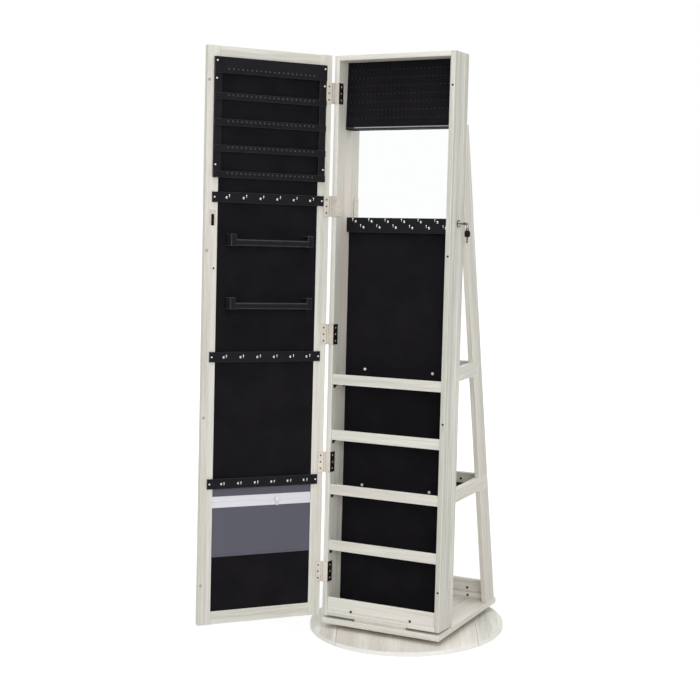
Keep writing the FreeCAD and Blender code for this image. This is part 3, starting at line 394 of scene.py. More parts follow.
def wood(tree, pale, shaded, depth):
    # The Rubbed colour here is the painted highlight along the boards' edges
    made = tree.group(limed_grain(), {
        "Grain": tree.mark("grain", "Vector"), "Edge": tree.mark("edge", "Fac"), "Depth": depth,
        "Pale": paint(pale), "Shade": paint(shaded), "Blush": paint("wood_blush"), "Rubbed": paint("wood_edge_highlight")})
    shaded_by(tree, made["Color"], made["Height"], 0.25, 0.25, Roughness=made["Roughness"],
              Specular_IOR_Level=0.35)


def felted(tree, deep, fibre):
    made = tree.group(nap(), {"Place": tree.place(), "Deep": paint(deep), "Fibre": paint(fibre)})
    shaded_by(tree, made["Color"], made["Height"], 0.35, 0.4, Roughness=0.95, Specular_IOR_Level=0.06)


def smooth(tree, plain, rubbed, bright, dull, specular, metallic=0.0):
    """Smooth plastic or metal with smudges, and a colour along the edges that is a painted highlight on black
    plastic and blackened steel.
    """
    place = tree.place()
    surface = tree.group(handled(), {"Place": place, "Bright": bright, "Dull": dull})
    edge_tinted = tree.group(edge_wear_and_highlight(), {"Place": place, "Edge": tree.mark("edge", "Fac"), "Mask": surface["Mask"],
                                       "Plain": paint(plain), "Rubbed": paint(rubbed)})
    shaded_by(tree, edge_tinted["Color"], surface["Height"], 0.06, 0.1, Roughness=surface["Roughness"],
              Specular_IOR_Level=specular, Metallic=metallic)


def woven(tree, thread, gap, pitch, bump):
    made = tree.group(weave(), {"Grain": tree.mark("grain", "Vector"), "Pitch": pitch * MM,
                                "Thread": paint(thread), "Gap": paint(gap)})
    shaded_by(tree, made["Color"], made["Height"], 0.4, bump, Roughness=0.85, Specular_IOR_Level=0.15)


# Each finish: its kind, its two colours, and then the kind's own numbers
FINISHES = {
    "Whitewashed boards": (wood, "wood_pale", "wood_shade", 0.8),
    # Painted shade on top of stronger streaks: the deeper grain darkens the boards of the cabinet's right side
    "Streaked boards": (wood, "wood_pale", "wood_shade", 1.25),
    "Pale tan board": (wood, "base_pale", "base_shade", 0.8),
    "Black felt": (felted, "felt_deep", "felt_fibre"),
    "Black hardboard": (felted, "board_black", "felt_fibre"),
    # Black plastic, gloss black and blackened steel get the painted edge highlight on their rounded edges
    "Black plastic": (smooth, "plastic_black", "plastic_worn", 0.45, 0.62, 0.12),
    "Rims of the holes": (smooth, "plastic_worn", "rim_bright", 0.35, 0.5, 0.3),
    "Rims of the slots": (smooth, "slot_rim", "slot_rim_bright", 0.5, 0.7, 0.1),
    "Gloss black": (smooth, "gloss_black", "plastic_worn", 0.06, 0.13, 1.0),
    "White caps": (smooth, "cap_white", "cap_edge", 0.25, 0.4, 0.5),
    "Satin nickel": (smooth, "nickel", "nickel_edge", 0.2, 0.36, 0.5, 1.0),
    "Aged nickel": (smooth, "aged", "aged_edge", 0.16, 0.34, 0.5, 1.0),
    "Zinc screws": (smooth, "zinc", "nickel_edge", 0.3, 0.5, 0.5),
    "Bright chrome": (smooth, "chrome", "chrome_edge", 0.06, 0.15, 0.5, 1.0),
    "Bearing steel": (smooth, "steel", "nickel_edge", 0.2, 0.42, 0.5, 1.0),
    "Blackened steel": (smooth, "black_steel", "plastic_worn", 0.35, 0.55, 0.3),
    "Silvered glass": (smooth, "silver", "glass_green", 0.005, 0.03, 0.5, 1.0),
    "Pocket cloth": (woven, "cloth_grey", "cloth_shade", 0.9, 0.2),
    "Zip ribbon": (woven, "tape_white", "tape_shade", 1.3, 0.25),
}


def finished(name):
    """A finish's material, made once."""
    made = bpy.data.materials.get(name)
    if not made:
        made = bpy.data.materials.new(name)
        kind, *facts = FINISHES[name]
        kind(fresh_tree(made), *facts)
    return made


# Mesh code
def spread(items, beside):
    """Groups of the items that can be reached from each other; beside gives the neighbours of one."""
    left, found = set(items), []
    for first in items:
        if first not in left:
            continue
        left.discard(first)
        group = [first]
        for item in group:
            for other in beside(item):
                if other in left:
                    left.discard(other)
                    group.append(other)
        found.append(group)
    return found


def solids(bm):
    """The faces of each solid, told apart where solids only touch at a corner or an edge."""
    return spread(bm.faces, lambda face: [other for edge in face.edges if len(edge.link_faces) == 2
                                          for other in edge.link_faces])


def islands(bm):
    """The vertices of each separate solid."""
    return spread(bm.verts, lambda vertex: [edge.other_vert(vertex) for edge in vertex.link_edges])


def copy_of(node):
    """A CAD node's form with its corners joined and its flat faces whole."""
    bm = bmesh.new()
    bm.from_mesh(NODES[node].data)
    bmesh.ops.remove_doubles(bm, verts=bm.verts, dist=WELD)
    for faces in solids(bm)[1:]:
        bmesh.ops.split(bm, geom=faces)
    bmesh.ops.dissolve_limit(bm, angle_limit=FLAT, verts=bm.verts, edges=bm.edges)
    return bm


def spots_of(node, place):
    """Lowest and highest corner of each solid of a CAD node, in millimetres in a place's own directions."""
    bm = copy_of(node)
    back = place.inverted()
    boxes = []
    for island in islands(bm):
        spots = [back @ vertex.co for vertex in island]
        boxes.append([Vector(map(end, zip(*spots))) / MM for end in (min, max)])
    bm.free()
    return boxes


def ends_of(node, place, toward, axis=1, end=max, inset=0.0):
    """Places at one end of each solid of a CAD node, with z turned toward a side; inset in millimetres."""
    made = []
    for low, high in spots_of(node, place):
        spot = (low + high) / 2
        spot[axis] = end(low[axis], high[axis]) + inset
        made.append(place @ at(*spot) @ toward)
    return made


def soften(bm, radius, least=SHORT_EDGE, edges=None):
    """Rounds the long hard edges, and marks the rounding for the edge colour: a painted highlight on boards and
    black plastic, the edges' own wear on metal.
    """
    mark = bm.verts.layers.float.get("edge") or bm.verts.layers.float.new("edge")
    if edges is None:
        edges = [edge for edge in bm.edges if len(edge.link_faces) == 2
                 and edge.calc_face_angle() > HARD and edge.calc_length() > least]
    made = bmesh.ops.bevel(bm, geom=edges, offset=radius, segments=2, profile=0.5, affect="EDGES",
                           clamp_overlap=False)
    rounded = set(made["faces"])
    for vertex in {vertex for face in rounded for vertex in face.verts}:
        if all(face in rounded for face in vertex.link_faces):
            vertex[mark] = 1.0


def lay_grain(bm, place):
    """Coordinates along, across and through each face of a board, with other wood for each board."""
    layer = bm.loops.layers.float_vector.new("grain")
    back = place.inverted()
    turned = back.to_3x3()
    for board, island in enumerate(islands(bm)):
        spots = {vertex: back @ vertex.co for vertex in island}
        spans = [max(side) - min(side) for side in zip(*spots.values())]
        shift = OTHER_WOOD * (board + 1 + 2.7 * len(bm.verts) % 5)
        for face in {face for vertex in island for face in vertex.link_faces}:
            facing = [abs(part) for part in turned @ face.normal]
            through = facing.index(max(facing))
            sides = (side for side in range(3) if side != through)
            along, across = sorted(sides, key=lambda side: -spans[side])
            for loop in face.loops:
                spot = spots[loop.vert]
                loop[layer] = Vector((spot[along], spot[across], spot[through])) + shift


def put(name, bm, body, slot, *finishes, stands_for=(), place=None):
    """Links a finished mesh as a piece that rides on a body; wood and cloth need a place for their grain."""
    if place is not None:
        lay_grain(bm, place)
    for face in bm.faces:
        face.smooth = True
    for edge in bm.edges:
        edge.smooth = len(edge.link_faces) == 2 and edge.calc_face_angle() < CREASE
    mesh = bpy.data.meshes.new(name)
    bm.to_mesh(mesh)
    bm.free()
    for finish in finishes:
        mesh.materials.append(finished(finish))
    piece = bpy.data.objects.new(name, mesh)
    bpy.context.scene.collection.objects.link(piece)
    piece.modifiers.new("Even shading", "WEIGHTED_NORMAL").keep_sharp = True
    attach(piece, body)
    if stands_for:
        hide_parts(*stands_for)
    return piece


def softened(nodes, body, slot, finish, radius, place=None, least=SHORT_EDGE):
    """Forms of CAD nodes with rounded edges."""
    for node in nodes.split():
        bm = copy_of(node)
        soften(bm, radius, least)
        put(node + "_finished", bm, body, slot, finish, stands_for=[node], place=place)


def coat(finish, *nodes):
    """Finishes CAD nodes that are shown as they are."""
    for node in nodes:
        NODES[node].data.materials.clear()
        NODES[node].data.materials.append(finished(finish))


def merge(bm, other, place):
    other.transform(place)
    mesh = bpy.data.meshes.new("part")
    other.to_mesh(mesh)
    other.free()
    bm.from_mesh(mesh)
    bpy.data.meshes.remove(mesh)


def skin(bm, rings, closed=False, material=0):
    """Faces between rings of points of one count; a ring of one point closes an end."""
    rows = [[bm.verts.new(point) for point in ring] for ring in rings]
    pairs = list(zip(rows, rows[1:])) + ([(rows[-1], rows[0])] if closed else [])
    for low, high in pairs:
        count = max(len(low), len(high))
        for here in range(count):
            then = (here + 1) % count
            corners = [low[here % len(low)], low[then % len(low)], high[then % len(high)], high[here % len(high)]]
            bm.faces.new(list(dict.fromkeys(corners))).material_index = material
    return rows


def skinned(bm, place, rings, closed=False):
    """A form of its own from rings of points in metres, set in a place."""
    part = bmesh.new()
    skin(part, rings, closed)
    bmesh.ops.recalc_face_normals(part, faces=part.faces)
    merge(bm, part, place)


def eased_plate(bm, place, half, eye, rim, eye_edge, rim_edge):
    """A flat form from an eye out to a rim; both give a ring for an easing and a depth."""
    front = [eye(0, half - eye_edge), eye(eye_edge, half), rim(rim_edge, half), rim(0, half - rim_edge)]
    back = [[Vector((point.x, -point.y, point.z)) for point in ring] for ring in front]
    skinned(bm, place, back + front[::-1], closed=True)


def round_ring(radius, height, count, sink):
    if radius <= 0:
        return [Vector((0, 0, height - sink(0, 0)))]
    return [Vector((radius * math.cos(a), radius * math.sin(a), height - sink(radius, a))) for a in angles(count)]


def turn(bm, place, profile, count=32, sink=lambda distance, angle: 0):
    """Turns a profile of radius and height, in millimetres, about the place's Z."""
    skinned(bm, place, [round_ring(radius * MM, height * MM, count, sink) for radius, height in profile])


def cross_recess(radius, depth):
    """Depth of a driver's cross at a distance and angle from a screw's middle, in metres."""

    def sink(distance, angle):
        reach = max(0.0, 1 - distance / (0.62 * radius))
        arm = max(abs(math.cos(angle)), abs(math.sin(angle))) ** 10 if distance else 1
        return depth * min(1, 2.5 * reach) * arm

    return sink


def screw_head(bm, place, radius, height, dome=0.5, sides=32):
    """A domed head on its seat at z = 0, with a cross recess; sizes in millimetres."""
    crown = height * (1 - dome)
    profile = [(radius * 0.98, 0), (radius, crown * 0.5), (radius * 0.96, crown)]
    profile += [(radius * share, height - (height - crown) * share ** 2)
                for share in (0.85, 0.7, 0.58, 0.46, 0.34, 0.22, 0.1, 0)]
    turn(bm, place, profile, sides, cross_recess(radius * MM, height * 0.55 * MM))


def studs(node, body, slot, finish, places, head=None, profile=None):
    """A screw head or a turned profile at each place, for the solids of a CAD node."""
    bm = bmesh.new()
    for place in places:
        if head:
            screw_head(bm, place, *head)
        else:
            turn(bm, place, profile)
    put(node + "_finished", bm, body, slot, finish, stands_for=[node])


def block(bm, place, low, high, radius):
    """A rounded block between two corners, in millimetres."""
    part = bmesh.new()
    bmesh.ops.create_cube(part, size=1)
    middle = [(a + b) / 2 * MM for a, b in zip(low, high)]
    for vertex in part.verts:
        vertex.co = Vector(m + c * (b - a) * MM for m, c, a, b in zip(middle, vertex.co, low, high))
    soften(part, radius * MM, least=0)
    merge(bm, part, place)


def prism(bm, place, outline, depth, radius):
    """An outline of (across, up) run from y = 0 to a depth, with rounded edges, in millimetres."""
    part = bmesh.new()
    front, back = ([part.verts.new((x * MM, y * MM, z * MM)) for x, z in outline] for y in (0, depth))
    part.faces.new(front)
    part.faces.new(back[::-1])
    for step in range(len(outline)):
        then = (step + 1) % len(outline)
        part.faces.new([front[then], front[step], back[step], back[then]])
    bmesh.ops.recalc_face_normals(part, faces=part.faces)
    soften(part, radius * MM, least=0)
    merge(bm, part, place)


def tube(bm, place, path, radius, sides=12):
    """A round wire along points, in metres, with closed ends."""
    points = [Vector(point) for point in path]
    rings, side = [], None
    for index, point in enumerate(points):
        ahead = points[min(index + 1, len(points) - 1)] - points[max(index - 1, 0)]
        ahead.normalize()
        if side is None:
            side = ahead.orthogonal().normalized()
        side = (side - ahead * side.dot(ahead)).normalized()
        other = ahead.cross(side)
        rings.append([point + (side * math.cos(a) + other * math.sin(a)) * radius for a in angles(sides)])
    skinned(bm, place, [[points[0]]] + rings + [[points[-1]]])


def bead(bm, place, size, sides, rings):
    """An oval bead; size is its half lengths in millimetres."""
    scale = Matrix.Diagonal((*(half * MM for half in size), 1))
    bmesh.ops.create_uvsphere(bm, u_segments=sides, v_segments=rings, radius=1, matrix=place @ scale)


def perforated(bm, place, size, spots, cell, hole, sink, thickness):
    """A plate with rows of sunk oval holes; its front is at y = 0, its foot at z = 0, sizes in metres."""
    width, height = size
    columns, rows = spots
    part = bmesh.new()
    across = [-width / 2] + [x - cell[0] / 2 for x in columns] + [columns[-1] + cell[0] / 2, width / 2]
    up = [0] + sorted({round(z + side * cell[1] / 2, 7) for z in rows for side in (-1, 1)}) + [height]
    tiles_across, tiles_up = list(zip(across, across[1:])), list(zip(up, up[1:]))
    around = [a - math.radians(135) for a in angles(12)]
    lips = ((sink, 0), (sink * 0.25, sink * 0.4), (0, thickness * 0.8), (0, thickness))

    def near(value, listed):
        return any(abs(value - other) < NEAR for other in listed)

    for left, right in tiles_across:
        for low, high in tiles_up:
            x, z = (left + right) / 2, (low + high) / 2
            corners = [(left, low), (right, low), (right, high), (left, high)]
            front, back = ([part.verts.new((a, y, b)) for a, b in corners] for y in (0, thickness))
            if not (near(x, columns) and near(z, rows)):
                part.faces.new(front)
                part.faces.new(back[::-1])
                continue
            rings = skin(part, [[(x + (hole[0] + wide) * math.cos(a), y, z + (hole[1] + wide) * math.sin(a))
                                 for a in around] for wide, y in lips], material=1)
            for side in range(4):
                arc = [(3 * side + step) % 12 for step in (3, 2, 1, 0)]
                for frame_of, ring in ((front, rings[0]), (back, rings[-1])):
                    part.faces.new([frame_of[side], frame_of[(side + 1) % 4]] + [ring[k] for k in arc])
    for z in (0, height):
        for left, right in tiles_across:
            sides = ((left, 0), (right, 0), (right, thickness), (left, thickness))
            part.faces.new([part.verts.new((x, y, z)) for x, y in sides])
    for x in (-width / 2, width / 2):
        for low, high in tiles_up:
            sides = ((0, low), (thickness, low), (thickness, high), (0, high))
            part.faces.new([part.verts.new((x, y, z)) for y, z in sides])
    bmesh.ops.remove_doubles(part, verts=part.verts, dist=FACE_WELD)
    bmesh.ops.recalc_face_normals(part, faces=part.faces)

    def outer(vertex):
        return near(abs(vertex.co.x), [width / 2]) or near(vertex.co.z, [0, height])

    rim = [edge for edge in part.edges if all(map(outer, edge.verts)) and edge.calc_face_angle(0) > 1]
    soften(part, sizes().trim_edge, edges=rim)
    merge(bm, part, place)


# Pieces
class CABINET_OT_base(Operator):
    """Boards of the round base, the swivel plate and the wedge on it"""

    bl_idname = "cabinet.base"
    bl_label = "Round base and plate"
    RIM, SEAM, TOUCH = 269.6, 0.8, 0.01

    def disc_board(self, node, slot, finish, seam=0.0):
        """A board of the round base, with a painted highlight along the base's rim and an open seam at its straight
        side.
        """
        bm = copy_of(node)
        across = DISC.col[0].to_3d()
        inner = min(abs(vertex.co.dot(across)) for vertex in bm.verts)
        for vertex in bm.verts:
            side = vertex.co.dot(across)
            if abs(side) < inner + self.TOUCH * MM:
                vertex.co += across * math.copysign(seam * MM, side)
        soften(bm, sizes().board_edge / 2)
        mark = bm.verts.layers.float["edge"]
        # Painted highlight: only the rim, beyond RIM, takes the near-white edge colour; the other roundings take
        # none
        for vertex in bm.verts:
            vertex[mark] = 1.0 if vertex.co.xy.length > self.RIM * MM else 0.0
        put(node + "_finished", bm, "base", slot, finish, stands_for=[node], place=DISC)

    def execute(self, context):
        self.disc_board("base_middle_board", "tan_board", "Pale tan board")
        self.disc_board("base_segments", "white_wood", "Whitewashed boards", self.SEAM)
        softened("swivel_plate base_wedge", "cabinet", "white_wood", "Whitewashed boards", sizes().board_edge,
                 FLOOR)
        return {"FINISHED"}


class CABINET_OT_bearing(Operator):
    """Steel rings, cage and balls of the swivel bearing"""

    bl_idname = "cabinet.bearing"
    bl_label = "Swivel bearing"

    def execute(self, context):
        coat("Bearing steel", "bearing_lower_ring", "bearing_upper_ring", "bearing_cage", "bearing_balls")
        return {"FINISHED"}


class CABINET_OT_boards(Operator):
    """Whitewashed boards of the cabinet, with shelves, lips and the bottom rail"""

    bl_idname = "cabinet.boards"
    bl_label = "Cabinet boards"
    PLAIN = "left_side_panel top_panel bottom_panel back_panel shelves shelf_lips bottom_front_rail"

    def execute(self, context):
        edge = sizes().board_edge
        # The right side is darkened as painted shade by the streaked boards
        softened("right_side_panel", "cabinet", "white_wood", "Streaked boards", edge, CABINET)
        softened(self.PLAIN, "cabinet", "white_wood", "Whitewashed boards", edge, CABINET)
        return {"FINISHED"}


class CABINET_OT_rear_stand(Operator):
    """Slanted legs, rails and black floors of the rear trays"""

    bl_idname = "cabinet.rear_stand"
    bl_label = "Rear legs and trays"
    SLANTED = "rear_leg_left rear_leg_right"
    LEVEL = "tray_side_rails tray_back_rails bottom_rear_rail rear_cleat"

    def execute(self, context):
        for nodes, place in ((self.SLANTED, LEGS), (self.LEVEL, FLOOR)):
            softened(nodes, "cabinet", "white_wood", "Whitewashed boards", sizes().board_edge, place)
        softened("tray_floors", "cabinet", "black_board", "Black hardboard", sizes().trim_edge)
        return {"FINISHED"}


class CABINET_OT_felt(Operator):
    """Felt panels of the cabinet and the door"""

    bl_idname = "cabinet.felt"
    bl_label = "Felt panels"

    def execute(self, context):
        coat("Black felt", "felt_back_panel", "door_felt_panel")
        return {"FINISHED"}


class CABINET_OT_earring_board(Operator):
    """Slanted felt board with rows of earring slots, over its gloss ledge"""

    bl_idname = "cabinet.earring_board"
    bl_label = "Earring board"
    FOOT, TOP = (43.0, 1342.0), (50.0, 1515.0)
    WIDTH, THICKNESS, SPAN = 328.0, 4.0, 302.0
    SLOT, SLOT_SINK = (2.2, 0.7), 0.6
    PLUMB, LIP, LEDGE_LEAN, LEANING, LEDGE_EDGE = 3.4, 1.4, 17.0, 0.2, 0.3

    def board(self):
        rise, back = self.TOP[1] - self.FOOT[1], self.TOP[0] - self.FOOT[0]
        place = CABINET @ at(0, *self.FOOT) @ Matrix.Rotation(-math.atan2(back, rise), 4, "X")
        tall, span = math.hypot(rise, back) * MM, self.SPAN * MM
        rows, columns = sizes().slot_rows, sizes().slot_columns
        step = tall / (rows + 1)
        spots = steps(-span / 2, span / 2, columns), [step * (row + 1) for row in range(rows)]
        bm = bmesh.new()
        perforated(bm, place, (self.WIDTH * MM, tall), spots, (span / (columns - 1), step),
                   [half * MM for half in self.SLOT], self.SLOT_SINK * MM, self.THICKNESS * MM)
        put("earring_board_slotted", bm, "cabinet", "black_felt", "Black felt", "Rims of the slots",
            stands_for=["earring_board"])

    def ledge(self):
        """A gloss ledge whose front leans back between a plumb lower edge and a plumb lip."""
        (low, high), = spots_of("earring_ledge", CABINET)
        wide, deep, tall = high - low
        back = (tall - self.PLUMB - self.LIP) * math.tan(math.radians(self.LEDGE_LEAN))
        outline = [(0, 0), (0, self.PLUMB), (back, tall - self.LIP), (back, tall), (deep, tall), (deep, 0)]
        bm = bmesh.new()
        prism(bm, CABINET @ at(high.x, low.y, low.z) @ QUARTER_TURN, outline, wide, self.LEDGE_EDGE)
        up, front = CABINET.col[2].to_3d(), -CABINET.col[1].to_3d()
        for face in bm.faces:
            leans = min(face.normal.dot(up), face.normal.dot(front)) > self.LEANING
            face.material_index = 0 if leans else 1
        put("earring_ledge_finished", bm, "cabinet", "gloss_black", "Gloss black", "Black plastic",
            stands_for=["earring_ledge"])

    def execute(self, context):
        self.board()
        self.ledge()
        return {"FINISHED"}


class CABINET_OT_mirrors(Operator):
    """Vanity mirror inside and the large mirror of the door, with polished edges"""

    bl_idname = "cabinet.mirrors"
    bl_label = "Mirrors"

    def execute(self, context):
        for node, body in (("vanity_mirror", "cabinet"), ("door_mirror", "door")):
            softened(node, body, "mirror", "Silvered glass", sizes().glass_edge)
        return {"FINISHED"}


class CABINET_OT_door_frame(Operator):
    """Stiles and rails of the door, with a dark stud on the free stile"""

    bl_idname = "cabinet.door_frame"
    bl_label = "Door frame"
    BOARDS, LONG = "door_hinge_stile door_free_stile door_rails", 250.0
    STUD, STUD_HEAD = (152.0, -2.6, 951.0), (2.6, 1.2)

    def execute(self, context):
        softened(self.BOARDS, "door", "white_wood", "Whitewashed boards", sizes().frame_edge, DOOR, self.LONG * MM)
        bm = bmesh.new()
        screw_head(bm, DOOR @ at(*self.STUD) @ TOWARD_BACK, *self.STUD_HEAD)
        put("stile_stud", bm, "door", "black_steel", "Blackened steel")
        return {"FINISHED"}


class CABINET_OT_earring_rack(Operator):
    """Rack of perforated bars between two uprights"""

    bl_idname = "cabinet.earring_rack"
    bl_label = "Earring rack"
    WIDTH, THICKNESS, FACE = 320.0, 3.0, 6.4
    FOOT, PITCH, HEIGHTS = 1188.5, 67.5, (17.0, 17.0, 17.0, 17.0, 42.0)
    HOLE_LIFT, CELL_HEIGHT = 11.4, 9.0

    def execute(self, context):
        bm = bmesh.new()
        for low, high in spots_of("earring_rack", DOOR):
            if low.y < 0:
                block(bm, DOOR, low, high, sizes().trim_edge / MM)
        pitch, count, radius = sizes().hole_pitch, sizes().hole_count, sizes().hole_radius
        spots = steps(-pitch * (count - 1) / 2, pitch * (count - 1) / 2, count), [self.HOLE_LIFT * MM]
        for index, height in enumerate(self.HEIGHTS):
            place = DOOR @ at(0, self.FACE, self.FOOT + index * self.PITCH) @ ABOUT_FACE
            perforated(bm, place, (self.WIDTH * MM, height * MM), spots, (pitch, self.CELL_HEIGHT * MM),
                       (radius, radius), sizes().hole_sink, self.THICKNESS * MM)
        put("earring_rack_perforated", bm, "door", "black_plastic", "Black plastic", "Rims of the holes",
            stands_for=["earring_rack"])
        return {"FINISHED"}


class CABINET_OT_bars(Operator):
    """Hook bars on the door, necklace bar inside and bracelet bars on the felt"""

    bl_idname = "cabinet.bars"
    bl_label = "Hook, necklace and bracelet bars"
    ROD, ROD_DEPTH, SQUARENESS, SIDES, RINGS = 9.0, 25.4, 3.2, 32, 12
    # Painted highlight: how much of the light edge colour each corner step of the rod's section takes
    CORNER_HIGHLIGHT = {3: 0.15, 4: 0.6, 5: 0.15}
    BRACKET, BRACKET_TALL, BRACKET_EDGE, SHORT = 15.0, 31.0, 1.2, 20.0

    def rod(self, bm, low, high):
        """A bracelet bar of rounded square section, with a painted highlight along its corners."""
        part = bmesh.new()
        mark = part.verts.layers.float.new("edge")
        bulge, section = self.SQUARENESS, []
        for a in angles(self.SIDES):
            reach = self.ROD / (abs(math.cos(a)) ** bulge + abs(math.sin(a)) ** bulge) ** (1 / bulge)
            section.append((reach * math.cos(a), reach * math.sin(a)))
        rings = skin(part, [[Vector((x, y, z)) * MM for y, z in section] for x in steps(low.x, high.x, self.RINGS)])
        for ring in rings:
            for step, vertex in enumerate(ring):
                vertex[mark] = self.CORNER_HIGHLIGHT.get(step % (self.SIDES // 4), 0)
        merge(bm, part, DOOR @ at(0, self.ROD_DEPTH, (low.z + high.z) / 2))

    def bracket(self, bm, low, high):
        """A wide end bracket that reaches in over the end of its bar."""
        high.z = low.z + self.BRACKET_TALL
        if low.x < 0:
            high.x = low.x + self.BRACKET
        else:
            low.x = high.x - self.BRACKET
        # Its rounded edges take the black plastic's painted edge highlight
        block(bm, DOOR, low, high, self.BRACKET_EDGE)

    def execute(self, context):
        for node, body in (("hook_bars", "door"), ("necklace_bar", "cabinet")):
            softened(node, body, "black_plastic", "Black plastic", sizes().trim_edge)
        bm = bmesh.new()
        for low, high in spots_of("bracelet_bars", DOOR):
            shape = self.bracket if high.x - low.x < self.SHORT else self.rod
            shape(bm, low, high)
        bmesh.ops.recalc_face_normals(bm, faces=bm.faces)
        put("bracelet_bars_finished", bm, "door", "black_plastic", "Black plastic", stands_for=["bracelet_bars"])
        return {"FINISHED"}


class CABINET_OT_hooks(Operator):
    """Wire hooks with a rosette at the bar and a ball at the turned-up tip"""

    bl_idname = "cabinet.hooks"
    bl_label = "Hooks"
    WIRE, TIP, BALL, BEND = 1.1, 6.1, 2.1, 3.0
    ROSETTE = [(0, 0), (3.4, 0), (3.4, 0.5), (3.0, 0.9), (2.0, 1.1), (1.5, 1.6), (1.1, 1.7)]

    def hook(self, bm, place, reach):
        """A hook out along y and up along z from the place's origin."""
        turn(bm, place @ TOWARD_BACK, self.ROSETTE, 24)
        bend = [(0, reach - self.BEND * (1 - math.sin(a)), self.BEND * (1 - math.cos(a)))
                for a in steps(0, math.pi / 2, 7)]
        path = [(0, 0, 0), (0, reach * 0.5, 0), *bend, (0, reach, self.TIP)]
        tube(bm, place, [Vector(point) * MM for point in path], self.WIRE * MM)
        bead(bm, place @ at(0, reach, self.TIP), [self.BALL] * 3, 20, 12)

    def execute(self, context):
        for node, body, place, facing, end in (("door_hooks", "door", DOOR, FLOOR, min),
                                               ("necklace_hooks", "cabinet", CABINET, ABOUT_FACE, max)):
            bm = bmesh.new()
            for low, high in spots_of(node, place):
                foot = at((low.x + high.x) / 2, end(low.y, high.y), low.z + self.WIRE)
                self.hook(bm, place @ foot @ facing, high.y - low.y - self.BALL)
            put(node + "_finished", bm, body, "chrome", "Bright chrome", stands_for=[node])
        return {"FINISHED"}


